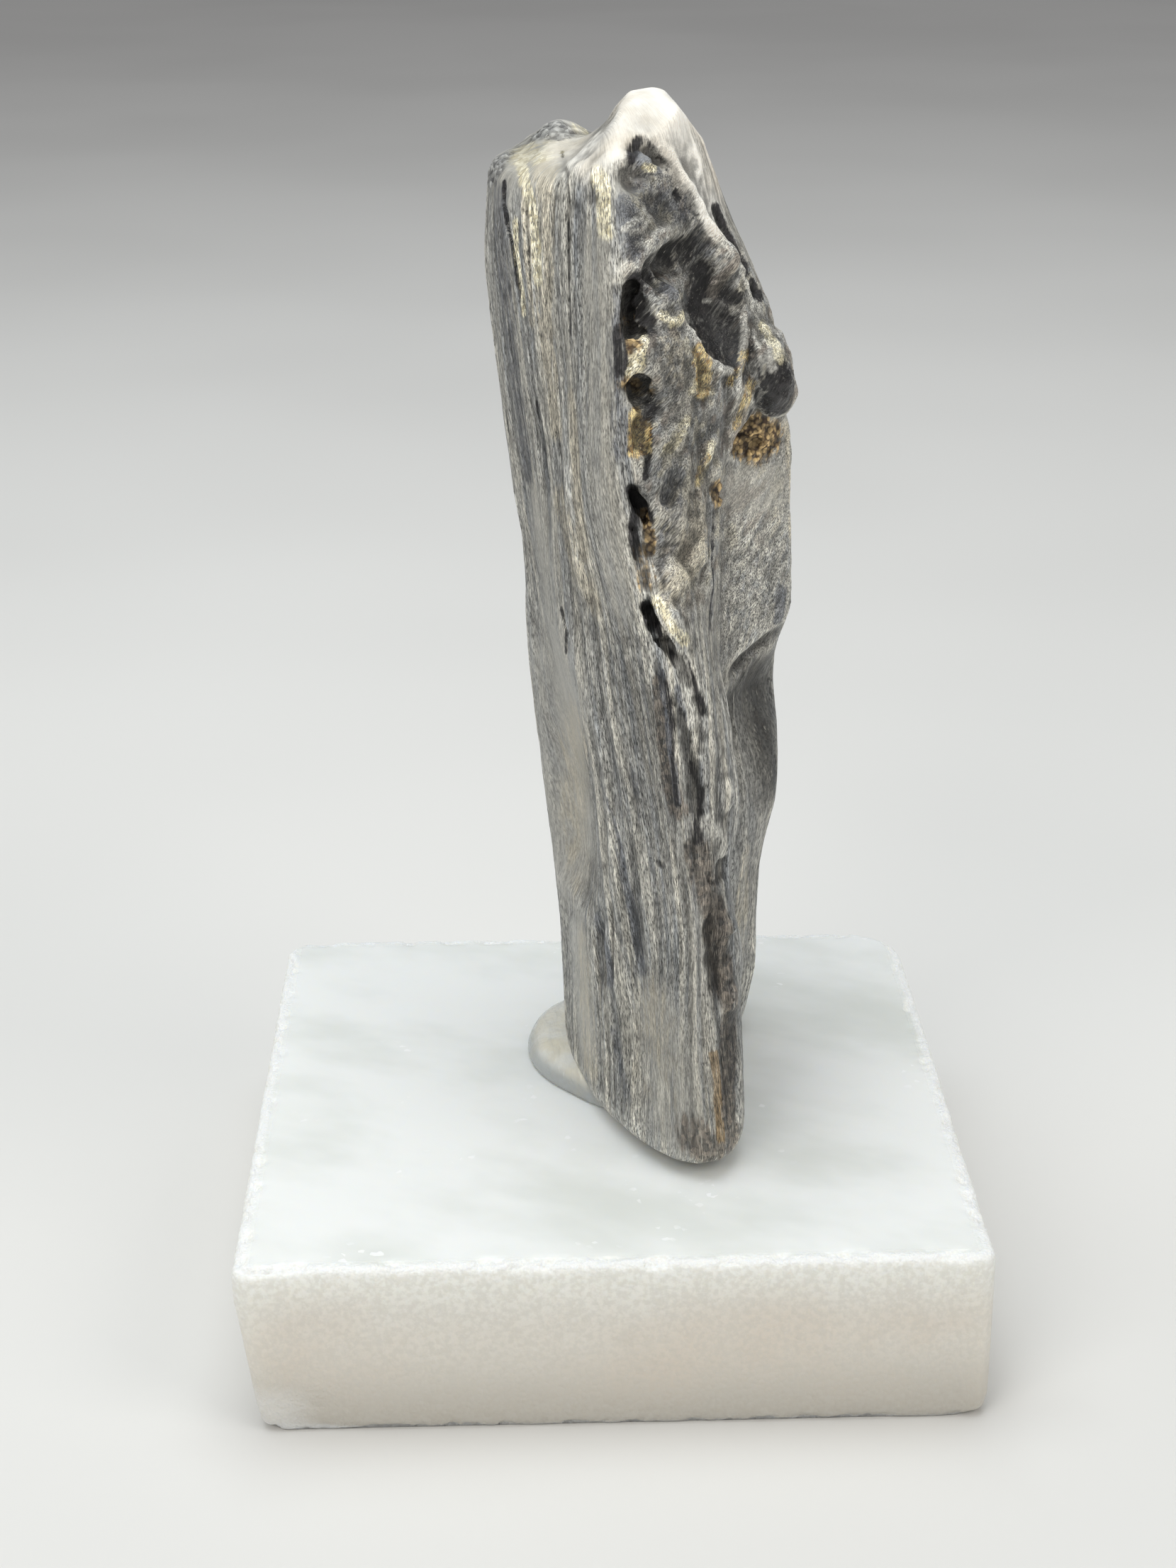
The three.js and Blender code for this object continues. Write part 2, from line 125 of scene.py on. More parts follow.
# ---- The wood ----
WOOD_VOXEL = 0.42
WOOD_TRIANGLES = 196000
GRAIN_RADIUS = 24.0  # radius of the straight trunk that the grain is laid out on
GRAIN_SWAY, SWAY_SIZE = 0.004, (14, 14, 20)  # how far round it the grain sways, and over what lengths
PEAK_HEIGHT = 143.9
SLANT = math.radians(40)  # how far the slanting streaks lean to the right from upright
SLANT_STRAY, SLANT_STRAY_SIZE = 1.2, 10  # how far they stray, and over what length

# Smoothing: rounds for the whole solid, for the sculpted one, and for rounding over the left
# crown's front edge, the front rib and the back hollow.
SOLID_ROUNDS, SCULPTED_ROUNDS = 14, 4
CROWN_ROUNDS, RIB_ROUNDS, BACK_ROUNDS = 70, 24, 60
EASE_IN, EASE_OUT = 0.62, 0.64  # how far a round moves each point in and back out
HOLLOW_HOLD = 0.9  # how much of that the small hollows are spared
ROUNDING = 0.6  # how far a round of rounding over moves each point

# Heights that a part of the wood starts at, is full from, is full up to and ends at.
FLANK_HEIGHTS = (56, 68, 94, 101)
KNOTTY_HEIGHTS = (74, 84, 136, 141)
RIB_HEIGHTS = (83, 92, 126, 133)
BACK_HEIGHTS = (36, 46, 94, 104)

# Where a part of the wood starts and where it is full.
FLANK_X, FLANK_Y = (12, 18), (-3, 5)
KNOTTY_FROM_RIB, KNOTTY_DEPTH = (0.5, 3.5), (6, 0)  # off the front rib, and behind a line across the front
TOP_TURN, TOP_HEIGHTS = (0.35, 0.75), (126, 132)  # how far up the surface faces, and heights
LEFT_CROWN_X, LEFT_CROWN_HEIGHTS = (3, -2), (127, 131)
CROWN_EDGE_X, CROWN_EDGE_HEIGHTS = (4, -1), (119, 126)
RIB_REACH = (5, 2.5)
BACK_Y, BACK_SHOWN_Y = (26, 32), (27, 33)
BACK_DAMPING = 0.6  # how much weaker the painted shade in hollows and highlight on crests are on the back
SOLE_HEIGHTS = (0.5, 7)

# Grooves along the grain: depth, width, length and seed.
GROOVES = ((0.12, 2.6, 45, 11), (0.12, 1.0, 16, 12), (0.35, 7, 80, 14))
GROOVE_LIFT = 0.175  # how far the ribs between the widest grooves stand out
GROOVE_POWER = 0.7  # below 1, which rounds the ribs and narrows the grooves

# Roughness: the part of the wood it is on, the way it runs, depth, size of its lumps, seed and layers.
ROUGHNESS = {
    "fibres": ("plain", "along", 0.12, (0.8, 0.8, 6), 13, 3),
    "swell": ("whole", "still", 0.2, (9, 9, 9), 21, 3),
    "lumps": ("knotty", "still", 0.9, (4.5, 4.5, 6), 31, 3),
    "slanting ribs": ("knotty", "slanted", 0.35, (1.6, 1.6, 6), 37, 3),
    "hollow floors": ("hollow", "still", 0.5, (2.2, 2.2, 2.2), 39, 3),
    "flank fibres": ("flank", "slanted", 0.12, (0.9, 0.9, 9), 41, 2),
    "crown lumps": ("left crown", "still", 0.35, (3, 3, 3), 51, 3),
}
CRUMB_DEPTH, CRUMB_SIZE = 1.3, 1.7

# How far the surface stands out from its smoothed self: rounds of smoothing, the depth that counts
# as full, and what the colour is multiplied by in hollows and on crests: painted shade in the hollows
# and painted highlight on the crests.
CRESTS = {
    "crest_fine": (3, 0.05, 0.65, 1.25),
    "crest_wide": (14, 0.3, 0.55, 1.1),
    "crest_broad": (60, 1.2, 0.75, 1.05),
}

# Lines that the grain runs along, counterclockwise seen from above: where each is round the
# straight trunk (a share of a turn) and its places on the wood as (height, x, y).
GRAIN_LINES = {
    "left side": (0.00, (0, -5, 8), (16, -6, 17), (43, -8.5, 20), (78, -10.5, 22.5), (120, -15.5, 25)),
    "left face": (
        0.12, (0, 0.5, -14), (15, -0.5, -11), (29, -1.5, -2), (57, -4, 3), (70, -5, -1),
        (90, -7.5, 4.5), (130, -12, 15.5),
    ),
    "scoop": (
        0.20, (0, 5, -21), (20, 5.5, -20.5), (45, 2.5, -14), (64, -0.5, -11), (82, -2, -9),
        (97, -4.5, -3), (130, -5.5, 4),
    ),
    "front face": (
        0.245, (0, 8, -25), (34, 7.5, -23), (48, 6.5, -20.5), (67, 3.5, -16), (81, 1, -14),
        (92, -2, -9), (130, -2, -4),
    ),
    "front rib": (
        0.29, (0, 11, -29), (35, 11, -26), (62, 8, -21), (80, 5.5, -18.5), (100, 2, -16.5),
        (124, 1, -10.5), (136, 1, -6),
    ),
    "holes": (
        0.35, (0, 14.5, -29.5), (26, 13, -27.5), (58, 12, -23), (71, 12, -18.5), (88, 9.5, -15),
        (131, 8, -3.5),
    ),
    "seam": (
        0.41, (0, 17.5, -27), (30, 16, -24), (58, 16, -19), (70, 15.5, -14), (91, 15.5, -8),
        (131, 13, 2),
    ),
    "right flank": (0.52, (0, 17, -2), (42, 16, 1), (80, 17, 5.5), (104, 24.5, 7), (135, 15, 7.5)),
    "right side": (0.64, (0, 21.5, 15), (28, 25, 22), (63, 26.5, 18.5), (85, 28, 18), (136, 14.5, 17)),
    "back": (0.82, (0, 6, 28), (50, 7, 36.5), (104, 4, 36), (140, 1.5, 29)),
    "back left": (0.93, (0, -3, 20), (50, -7, 31), (110, -11, 34), (126, -11.5, 33)),
}
LINE_EASE = 4.0  # how far above and below a height a grain line is evened out

# Hollows of the solid that keep their edges while the rest is smoothed: centre and reach.
HOLLOW_CORE = 0.6  # the share of its reach within which a hollow counts in full
HOLLOWS = {
    "upper hole": ((4.5, -13, 118), 6),
    "middle hole": ((5, -15, 107), 5),
    "slit": ((5.5, -16, 92), 6),
    "split top": ((7.5, -19, 78), 5),
    "split foot": ((12, -21, 66), 5),
    "clay pocket": ((21, 9, 95.5), 6),
    "pebble pocket": ((15.5, -8, 92), 3.5),
    "knob": ((24, 4, 107), 8),
    "arched pit": ((6, -3, 136), 5),
}

# Marks on the wood run through (x, height) places, which are laid onto the surface from the front.
# A mark without places of its own runs along the line of its name.
MARK_STEP = 1.5  # longest step between two places of a mark once it is laid
MARK_STRAY, STRAY_SIZE = 0.3, 1.8  # how far a carved mark strays from its line, and over what length
MARK_WOBBLE, WOBBLE_SIZE = 0.2, 2.2  # how much its depth varies, and over what length
MARK_ENDS, MARK_TAPER = 0.3, 4  # share of its depth at its ends, and how fast it gains the rest
STAIN_EDGE = (1.6, 0.4)  # half widths at which a stain starts and is full
FRONT_SIDE = -80  # y of a place well in front of the wood

# Lines that marks in more than one table run along, as (x, height) places.
LINES = {
    "arched pit, left leg": ((4, 136.5), (4.5, 137.5), (5.5, 138.5)),
    "arch rim": ((5, 124), (6, 125), (7, 125.5), (8.5, 126.5), (10, 127), (12, 127)),
    "column in the recess": ((8.5, 122.5), (9, 120), (9.5, 118)),
    "crevice": ((6, 104), (6, 101), (5.5, 97.5)),
    "ridge crack": ((16, 128.5), (17, 126), (18, 124), (19, 122), (20, 120)),
    "ridge crack, foot": ((21, 118), (22, 116.5)),
    "split, lower gap": ((10, 74), (11, 72), (12, 69.5), (13, 66.5)),
    "band edge": ((-4.5, 135), (-4, 129), (-4, 120), (-4, 113.5)),
    "middle groove": ((-8.5, 102), (-8, 96), (-7.5, 92.5), (-7, 88.5)),
    "short groove": ((-5.5, 75), (-5, 72.5), (-5, 69)),
    "small pit": ((10, 132), (10.5, 131)),
    "ridge": ((9.5, 136.5), (11, 133.5), (13, 130), (15, 126.5), (17, 123.5), (19, 120.5), (21, 117)),
    "seam": ((15.5, 92), (15, 86), (15, 81.5), (14.5, 75.5)),
    "forked rim": ((8, 117.5), (9, 116.5), (10, 116.5), (10.5, 117)),
    "dish rim": ((11.5, 115.5), (13, 112.5), (14.5, 110.5), (16, 109), (17.5, 108.5)),
    "first slanting rib": ((3, 128.5), (4, 129), (5.5, 130), (7.5, 132)),
    "third slanting rib": ((5, 126.5), (6, 126.5), (7.5, 127.5), (9, 128)),
    "dish fibre, top": ((14.5, 119), (16, 119.5), (17.5, 119.5)),
    "dish fibre, middle": ((14, 117), (15.5, 117), (17, 116), (18.5, 115.5)),
    "dish fibre, low": ((15, 116.5), (16.5, 115.5), (18, 115)),
    "rib beside the dish": ((19.5, 114.5), (19.5, 111.5), (19, 108.5), (18.5, 105)),
    "rib beside the knob": ((21, 113), (21.5, 110.5), (21, 107)),
    "arc": ((12, 107.5), (13, 106.5), (14.5, 106.5)),
    "gold pit": ((13, 112), (13.5, 110), (13.5, 107)),
    "pale corner": ((14, 52), (15.5, 49), (16, 45.5)),
    "dark nick": ((7, 45), (7.5, 44.5)),
    "left foot": ((-3.5, 22), (-2.5, 10)),
}

# Swellings and hollows a few millimetres across: half width, rise and places.
SCULPTED = {
    "arched pit, left leg": (1.0, -2.2),
    "arched pit, right leg": (0.9, -1.8, (6, 138.5), (7.5, 136.5), (9, 135.5)),
    "recess under the arch": (2.2, -2.4, (6.5, 121.5), (8.5, 123), (10.5, 123.5)),
    "arch rim": (1.3, 0.5),
    "column in the recess": (1.1, 0.8),
    "shelf beside the dish": (2.0, 1.3, (15, 124.5), (16.5, 122.5), (18, 120)),
    "slope under the peak": (1.8, -0.8, (6, 132), (8, 130.5), (10, 129)),
    "upper hole, left": (1.3, -3.0, (4, 122), (4, 119), (4, 115)),
    "upper hole, right": (1.3, -3.4, (5.5, 121.5), (6, 119), (6, 116)),
    "middle hole": (1.5, -3.0, (3.5, 109), (5, 109), (6.5, 107), (6, 105)),
    "crevice": (0.5, -1.2),
    "bulge": (2.6, 1.3, (9, 101), (9.5, 95), (9, 88)),
    "gully": (0.8, -1.0, (4, 91), (4.5, 88), (5.5, 84), (6.5, 82)),
    "pale lump": (1.8, 1.0, (12, 92), (13, 89), (12.5, 86), (11, 84)),
    "lump over the split": (1.8, 1.0, (7.5, 84), (9, 84.5), (10.5, 82)),
    "ridge crack": (1.0, -2.8),
    "ridge crack, foot": (1.0, -1.8),
    "clay in the pocket": (2.4, 2.4, (19.5, 98), (21, 96.5), (22.5, 95)),
    "split, upper slot": (0.8, -2.4, (5.5, 81), (6, 79), (7, 77), (8, 75.5), (9, 74)),
    "split, lower gap": (0.6, -2.2),
    "split lip": (1.2, 1.1, (7, 81.5), (8.5, 79.5), (9.5, 77.5), (10.5, 76)),
    "furrow under the split": (1.2, -1.2, (10.5, 66), (11.5, 60), (12, 54)),
    "scoop": (3.8, 0.3, (-3.5, 50), (-3, 45), (-3.5, 40)),
    "scoop rim": (2.0, 0.15, (0, 57), (1, 51.5), (1.5, 45.5), (1.5, 39.5), (0, 33), (-2, 28)),
    "notch under the scoop": (1.8, -1.2, (-0.5, 30), (-1, 26), (-0.5, 20)),
    "furrow right of the scoop": (1.4, -0.6, (3.5, 48), (4, 40), (4.5, 30)),
    "furrow of the right edge": (1.3, -1.2, (14, 39), (14.5, 33), (15, 26)),
    "right edge, pale bulge": (2.2, 1.0, (16, 57), (16, 52)),
    "right edge, notch": (1.8, -1.3, (16, 46), (16, 42)),
    "right edge, upper bump": (1.8, 1.5, (16, 37.5), (16, 35)),
    "right edge, bite": (1.3, -1.0, (16, 32)),
    "right edge, lower bump": (2.0, 1.1, (16.5, 28), (16.5, 24)),
    "flank ledge": (1.2, -1.0, (19, 62), (22.5, 64), (26.5, 65)),
    "groove of the left face": (1.4, -0.5, (-9, 102), (-8, 96), (-7.5, 90), (-7, 82)),
    "rib of the left face": (2.0, 0.5, (-4.5, 100), (-4, 88), (-2.5, 78)),
    "slit, black part": (0.8, -1.4, (4, 95.5), (5, 94), (6, 92)),
    "slit, left strip": (0.6, -1.2, (3.5, 92.5), (4, 90), (4.5, 87.5)),
}

# Thin marks that are carved or stand proud: half width, rise and places.
CARVED = {
    "left crack": (0.4, -0.9, (-12.5, 130.5), (-12.5, 127.5), (-12, 124.5), (-11.5, 122.5)),
    "left crack, lower end": (0.4, -0.5, (-11.5, 122.5), (-11, 119.5), (-10.5, 115.5)),
    "left groove": (0.4, -0.4, (-9.5, 131), (-9.5, 126), (-9, 120), (-9, 114)),
    "band edge": (0.5, -0.35),
    "middle groove": (0.4, -0.6),
    "middle groove, right": (0.35, -0.4, (-6, 100), (-5.5, 95.5)),
    "short groove": (0.4, -0.6),
    "groove beside the scoop": (0.6, -0.5, (1, 33.5), (1, 28), (1, 23)),
    "white crumb in the pit": (0.8, 0.6, (5.5, 136), (6, 135.5)),
    "rough lip under the pit": (0.8, 0.3, (4, 134), (5.5, 133), (7, 132.5), (8.5, 133)),
    "small pit": (0.7, -0.6),
    "ridge": (0.8, 0.8),
    "seam": (0.45, -0.6),
    "pocket lip": (0.9, 0.5, (13, 97), (14, 99), (15.5, 101)),
    "forked rim": (0.6, 0.5),
    "dish rim": (0.7, 0.6),
    "first slanting rib": (0.5, 0.2),
    "second slanting rib": (0.5, 0.2, (4, 128), (5.5, 128.5), (6.5, 129.5)),
    "third slanting rib": (0.6, 0.25),
    "dish fibre, top": (0.4, 0.4),
    "dish fibre, middle": (0.4, 0.4),
    "dish fibre, low": (0.4, 0.3),
    "rib beside the dish": (0.6, 0.5),
    "rib beside the knob": (0.5, 0.4),
    "rim over the slit": (0.8, 0.5, (9, 99.5), (10, 102), (11, 103.5)),
    "arc": (0.5, 0.5),
    "gold pit": (0.9, -0.7),
    "groove under the split": (0.7, -0.6, (9.5, 68.5), (10, 64.5), (11, 59.5)),
    "furrow under the split": (0.9, -0.6, (12, 59.5), (12, 55), (12.5, 51.5)),
    "pale corner": (1.3, 0.5),
    "loose flake": (0.3, -0.5, (13.5, 45), (14.5, 45), (15.5, 43.5), (15, 43), (14, 43.5), (13.5, 45)),
    "dark nick": (0.5, -0.5),
    "corner nick": (0.5, -0.5, (14, 39), (14.5, 36)),
}

# Stains that also cover the floors of the hollows that they lie in, with the painted shade of the dark
# marks and the painted light of the worn marks among them.
DEEP_STAINS_AND_PAINTED_LIGHT = ("dark", "clay", "yellow", "cream", "worn")
DEPTH_SCALE = 0.4  # how much a deep stain's distances shrink from front to back

# Stained marks by stain, with marks of painted shade and painted highlight among them, and the calm
# places where streaks and relief fade: half width, strength, places.
STAINED_AND_PAINTED_LIGHT = {
    "beige": {
        "band": (2.2, 0.75, (-7, 134), (-7, 125), (-7, 112), (-6, 100)),
        "left streaks": (1.2, 0.6, (-10, 134), (-9.5, 127), (-9, 113)),
        "middle streak": (1.6, 0.7, (-4, 105), (-3.5, 98), (-3, 90), (-2.5, 85)),
        "upper slope": (3.0, 0.2, (5, 133), (7, 129), (9, 128)),
        "column in the recess": (1.4, 0.3),
        "under the forked rim": (2.0, 0.5, (9, 114), (10, 110)),
        "peak, left": (2.5, 0.7, (0, 137.5), (3, 140)),
        "front of the foot": (5.0, 0.4, (6, 24), (6.5, 12)),
        "over the split": (3.4, 0.6, (11, 92), (11, 86), (9, 83)),
        "flank edge": (1.0, 0.7, (27, 96), (28, 88), (28, 80)),
        "lobe foot": (3.0, 0.5, (22, 30), (21, 12)),
        "pale middle": (2.4, 0.7, (-5.5, 90), (-4.5, 86.5), (-3.5, 82.5), (-1.5, 78.5)),
        "lump": (1.8, 0.9, (12.5, 89), (11.5, 87), (9.5, 85), (8, 83.5)),
        "scoop": (6.0, 0.5, (-3, 56), (-3, 48), (-3.5, 40), (-3, 33)),
        "left foot": (4.0, 0.5, (-3, 22), (-2, 8)),
    },
    # Painted highlight, in part: the pale dish rim, ridge, ridge foot and outer ridge are lit edges over
    # pale stone; the other pale marks are the stone's own pale fibres, ribs and crumbs.
    "pale": {
        "arch rim": (0.8, 0.4),
        "dish rim": (0.8, 1.0),
        "ridge": (1.0, 0.9),
        "ridge foot": (1.6, 0.7, (21, 117), (22, 114.5)),
        "outer ridge": (0.7, 0.6, (17, 128), (19, 124)),
        "dish fibre, top": (0.35, 0.8),
        "dish fibre, middle": (0.35, 0.9),
        "dish fibre, low": (0.35, 0.7),
        "rib beside the dish": (0.6, 0.7),
        "rib beside the knob": (0.5, 0.6),
        "first slanting rib": (0.5, 0.7),
        "second slanting rib": (0.5, 0.7, (4, 128), (5.5, 128), (6.5, 129.5)),
        "third slanting rib": (0.6, 0.7),
        "split edge": (0.7, 1.0, (9.5, 74.5), (10.5, 72), (11.5, 68.5), (12, 65)),
        "pale corner": (1.5, 0.9),
        "crumb": (0.9, 0.4, (12.5, 63), (12.5, 60.5)),
        "right edge": (0.9, 0.6, (15, 69), (16.5, 63.5), (17.5, 57), (18, 52.5)),
        "knob, upper": (0.9, 0.7, (23, 113), (23.5, 110.5), (23.5, 108)),
        "knob stripe": (0.5, 0.7, (20.5, 104), (21, 101.5)),
        "crumbs under the slit": (1.2, 0.8, (6, 88.5), (6, 86), (6, 83)),
        "low in the scoop": (2.6, 0.4, (-1.5, 43), (-1.5, 37), (-2.5, 32)),
        "foot": (2.0, 0.5, (5.5, 14), (7.5, 11.5), (5.5, 7)),
    },
    "cream": {
        "left streak": (0.8, 0.9, (-10, 133), (-9.5, 131), (-8.5, 127.5), (-8, 123), (-8, 119)),
        "thin left streak": (0.5, 0.9, (-11, 126), (-11, 122), (-10.5, 118), (-10, 113.5)),
        "upright patch": (1.1, 0.9, (-0.5, 135), (0.5, 133), (0.5, 131), (0.5, 128)),
        "valley": (1.6, 0.6, (-6, 136), (-3.5, 135.5), (-1.5, 136.5)),
        "between the holes": (1.1, 0.8, (5, 115), (4.5, 112.5), (4, 110)),
        "forked rim": (0.7, 0.9),
        "arc": (0.6, 0.8),
        "split lip": (0.8, 0.8, (7, 81.5), (8, 80), (9, 78), (10.5, 76)),
        "fibre in the split": (0.25, 0.7, (6, 79.5), (7, 77), (8.5, 74.5)),
        "knob top": (0.8, 0.9, (22.5, 113), (24, 110.5), (24.5, 109)),
        "left streak, head": (0.9, 0.7, (-10, 133), (-9.5, 130.5)),
        "speck in the recess": (0.4, 0.9, (7.5, 123.5)),
        "smear over the slit": (0.8, 0.8, (11, 104), (10, 102), (8.5, 101)),
        "smear, right": (0.7, 0.8, (13, 95.5), (14, 98), (14.5, 100)),
        "beside the gold pit": (0.6, 0.8, (12.5, 108.5), (13, 106.5)),
        "crumb in the pit": (0.6, 0.8, (6, 135.5), (7, 135)),
        "left crown": (1.4, 0.6, (-11, 133.5), (-8, 134.5), (-5, 135.5)),
    },
    "yellow": {
        "under the middle hole": (0.9, 1.0, (4.5, 106), (4, 103.5), (4, 101)),
        "inside the middle hole": (0.9, 0.7, (4, 110), (4.5, 108)),
        "gold pit": (1.2, 1.0),
        "thin line": (0.6, 0.7, (12.5, 95.5), (13, 97), (14, 98.5)),
        "upper stripe": (0.7, 0.5, (17.5, 107), (19, 108.5), (19.5, 110)),
        "lower stripe": (0.9, 0.6, (18.5, 101), (20, 104.5), (20.5, 106)),
        "crevice": (0.8, 0.9, (5.5, 104), (5.5, 101)),
    },
    "clay": {
        "pocket": (3.2, 1.0, (18.5, 98), (21, 96.5), (23, 95)),
        "pebble pocket": (1.2, 0.9, (15.5, 93.5), (16, 91.5)),
        "middle hole": (1.0, 0.7, (3, 109.5), (4.5, 108.5), (6, 108.5)),
        "under the slit": (0.8, 0.9, (5.5, 92), (6, 90), (6, 87.5)),
        "column": (1.4, 0.5, (5.5, 87.5), (5.5, 84)),
        "upper hole": (1.2, 0.6, (3.5, 116.5), (4, 114.5)),
    },
    # Painted shade: the dark marks in the pits, the recess, its corner, the holes, the slit, the split,
    # the crevice, the cracks, grooves and furrows, the seam and the nick darken hollows and creases. The
    # dish is partly painted shade; the knob, its fibres and the flecks are the stone's own dark.
    "dark": {
        "arched pit, left leg": (0.9, 0.75),
        "arched pit, right leg": (0.6, 0.55, (6, 138.5), (7.5, 137), (9, 135)),
        "small pit": (0.5, 0.7),
        "recess": (2.6, 0.55, (6.5, 122), (8.5, 124), (11, 124)),
        "recess corner": (1.5, 1.0, (13.5, 121), (13.5, 118.5), (13, 116.5)),
        "dish": (3.6, 0.75, (15, 114.5), (17, 111.5), (17.5, 110)),
        "dish, right": (1.4, 0.7, (17, 117.5), (18.5, 117)),
        "ridge crack": (0.9, 1.0),
        "knob": (2.2, 1.0, (24.5, 107), (25, 105), (24, 103)),
        "crumb by the upper hole": (1.1, 0.9, (2.5, 116), (2.5, 111.5)),
        "upper hole": (1.5, 1.0, (4.5, 122), (4.5, 118), (6, 116.5)),
        "middle hole, right": (0.9, 1.0, (6, 107.5), (6.5, 106), (6, 105)),
        "crevice": (0.45, 0.9),
        "slit": (0.8, 1.0, (3.5, 96), (4.5, 94.5), (5.5, 93.5)),
        "split, upper slot": (0.9, 1.0, (5.5, 80.5), (6, 79), (6.5, 78)),
        "split, upper slot, foot": (0.55, 1.0, (6.5, 78), (8, 75.5), (9.5, 73)),
        "split, lower gap": (0.6, 1.0),
        "furrow under the split": (0.7, 0.9, (11.5, 59.5), (12.5, 56), (12.5, 53), (12, 49.5)),
        "seam": (0.45, 0.5),
        "dark nick": (0.4, 0.5),
        "left crack": (0.32, 1.0,
            (-12.5, 130.5), (-12.5, 127.5), (-12, 124.5), (-11.5, 122.5), (-11, 119), (-10.5, 115.5),
        ),
        "middle groove": (0.28, 0.9),
        "short groove": (0.28, 0.9),
        "band edge": (0.22, 0.8),
        "slit, left strip": (0.8, 0.9, (4, 95), (4, 92.5), (4, 90), (4.5, 87.5)),
        "ridge crack, foot": (0.9, 1.0),
        "knob fibre": (0.35, 0.8, (21, 111), (21.5, 107.5), (22.5, 105)),
        "knob fibre, low": (0.35, 0.8, (21.5, 105), (21, 102.5), (20, 101)),
        "flecks beside the patch": (0.5, 0.6, (-1, 134.5), (-1, 131.5)),
        "slit, wide part": (1.1, 1.0, (5, 93.5), (6, 92)),
        "first furrow": (0.3, 0.9, (8, 71), (9, 64), (9, 59), (9.5, 54)),
        "second furrow": (0.3, 0.8, (10, 67), (10.5, 61)),
    },
    "slate": {
        "margin of the holes": (1.6, 0.6, (2.5, 121), (2, 117), (1.5, 112), (2, 106), (2.5, 101)),
        "slope right of the recess": (1.5, 0.6, (11.5, 129), (13, 126.5), (14.5, 123.5)),
        "under the pit": (3.0, 0.5, (6, 132), (9, 131.5), (10.5, 130)),
        "right of the scoop": (1.2, 0.8, (2, 44.5), (2.5, 40), (3.5, 35.5), (4, 32), (5, 28)),
        "long streak": (0.8, 0.5, (3.5, 58.5), (4, 54), (4.5, 49.5)),
        "under the scoop": (1.6, 0.8, (-1, 28.5), (0, 26.5), (0.5, 23)),
        "foot": (1.0, 0.6, (1, 15.5), (2, 11.5), (3, 7.5)),
        "first furrow": (0.6, 0.9, (7.5, 72), (8.5, 66), (8.5, 62), (9, 59), (9.5, 54.5)),
        "second furrow": (0.6, 0.8, (9.5, 70), (10.5, 64.5), (11, 60)),
        "left side": (2.6, 0.7, (-13, 128), (-12.5, 118), (-11.5, 106), (-10, 92)),
        "left of the lump": (2.2, 0.5, (9, 97), (8.5, 92), (8, 88.5), (7, 85.5)),
        "edge of the scoop": (0.6, 0.8, (-0.5, 51.5), (1, 48.5), (2, 45)),
        "slope left of the recess": (2.0, 0.7, (3, 131), (4, 128.5), (4.5, 126)),
        "seam": (1.0, 0.7),
        # Painted shade inside the arched pit and on the column in the recess.
        "inside the pit": (1.6, 0.8, (5.5, 137), (7, 135.5)),
        "column": (1.6, 0.8, (8.5, 123), (9, 120.5), (9.5, 119)),
        "flank edge": (1.2, 0.9, (27, 71.5), (26.5, 68)),
    },
    "brown": {
        "under the split": (1.5, 1.0, (7.5, 70), (8, 62), (8.5, 57), (9.5, 53.5)),
        "corner": (2.0, 0.8, (12, 48), (13, 45), (14, 41.5)),
        "right foot": (2.0, 1.0, (14.5, 40), (15, 35.5), (16, 31), (16.5, 26), (17, 18), (16.5, 9)),
        "lobe": (2.6, 0.4, (22, 62), (24, 55), (25, 47)),
        "tip": (3.0, 0.8, (11.5, 7), (14.5, 5), (17, 5.5)),
    },
    "amber": {
        "foot streak": (0.6, 1.0, (14.5, 19), (15, 15), (15, 11), (15.5, 6.5)),
    },
    # Painted light: the worn marks light the peak, the facet right of it, the top over the pit, the valley
    # and the ridge as if lit from above, over pale worn stone.
    "worn": {
        "right peak": (4.5, 1.0, (3.5, 141), (6.5, 142.5), (9.5, 141)),
        "facet right of the peak": (3.4, 1.0, (10.5, 140.5), (12.5, 137.5), (14, 134), (15.5, 131)),
        "over the pit": (2.4, 1.0, (-1, 137), (1.5, 138.5), (3.5, 140.5)),
        "valley": (2.6, 0.8, (-4, 135.5), (-1.5, 136)),
        "ridge": (1.8, 0.9, (9.5, 137), (11, 134), (13, 130.5), (15, 127)),
    },
    "crystal": {
        "left rim": (2.4, 1.0, (-14.5, 130.5), (-13.5, 133), (-11.5, 134.5)),
        "left peak": (2.2, 1.0, (-9, 135.5), (-8, 136), (-6, 137.5), (-4.5, 137)),
    },
    "calm": {
        "left crown": (5.0, 1.0, (-13, 131.5), (-9, 133.5), (-5, 135.5)),
        "grey band": (3.0, 0.7, (-1, 126), (0, 112), (-1, 103), (0.5, 92), (2, 80)),
        "scoop": (8.0, 1.0, (-5, 64), (-4, 52), (-3.5, 42), (-4.5, 32)),
        "left foot": (5.0, 1.0),
        "right lobe": (5.0, 0.45, (23, 55), (24, 42), (22, 25), (20, 10)),
        "dish": (3.6, 0.8, (15, 114), (17, 111)),
        "knob": (3.0, 1.0, (24, 108), (25.5, 105), (24.5, 103)),
        "peak": (5.0, 0.9, (3, 141), (8, 142)),
        "under the pit": (4.0, 0.3, (4, 131), (7, 130), (9, 131)),
        "lower left face": (6.0, 0.7, (-8, 84), (-7, 74), (-6, 62)),
        "lower left side": (6.0, 0.8, (-7.5, 60), (-6.5, 45), (-5.5, 30)),
        "front foot": (5.0, 0.8, (7, 22), (9, 8)),
        "top of the flank": (4.5, 0.8, (20, 89), (24, 88)),
    },
}

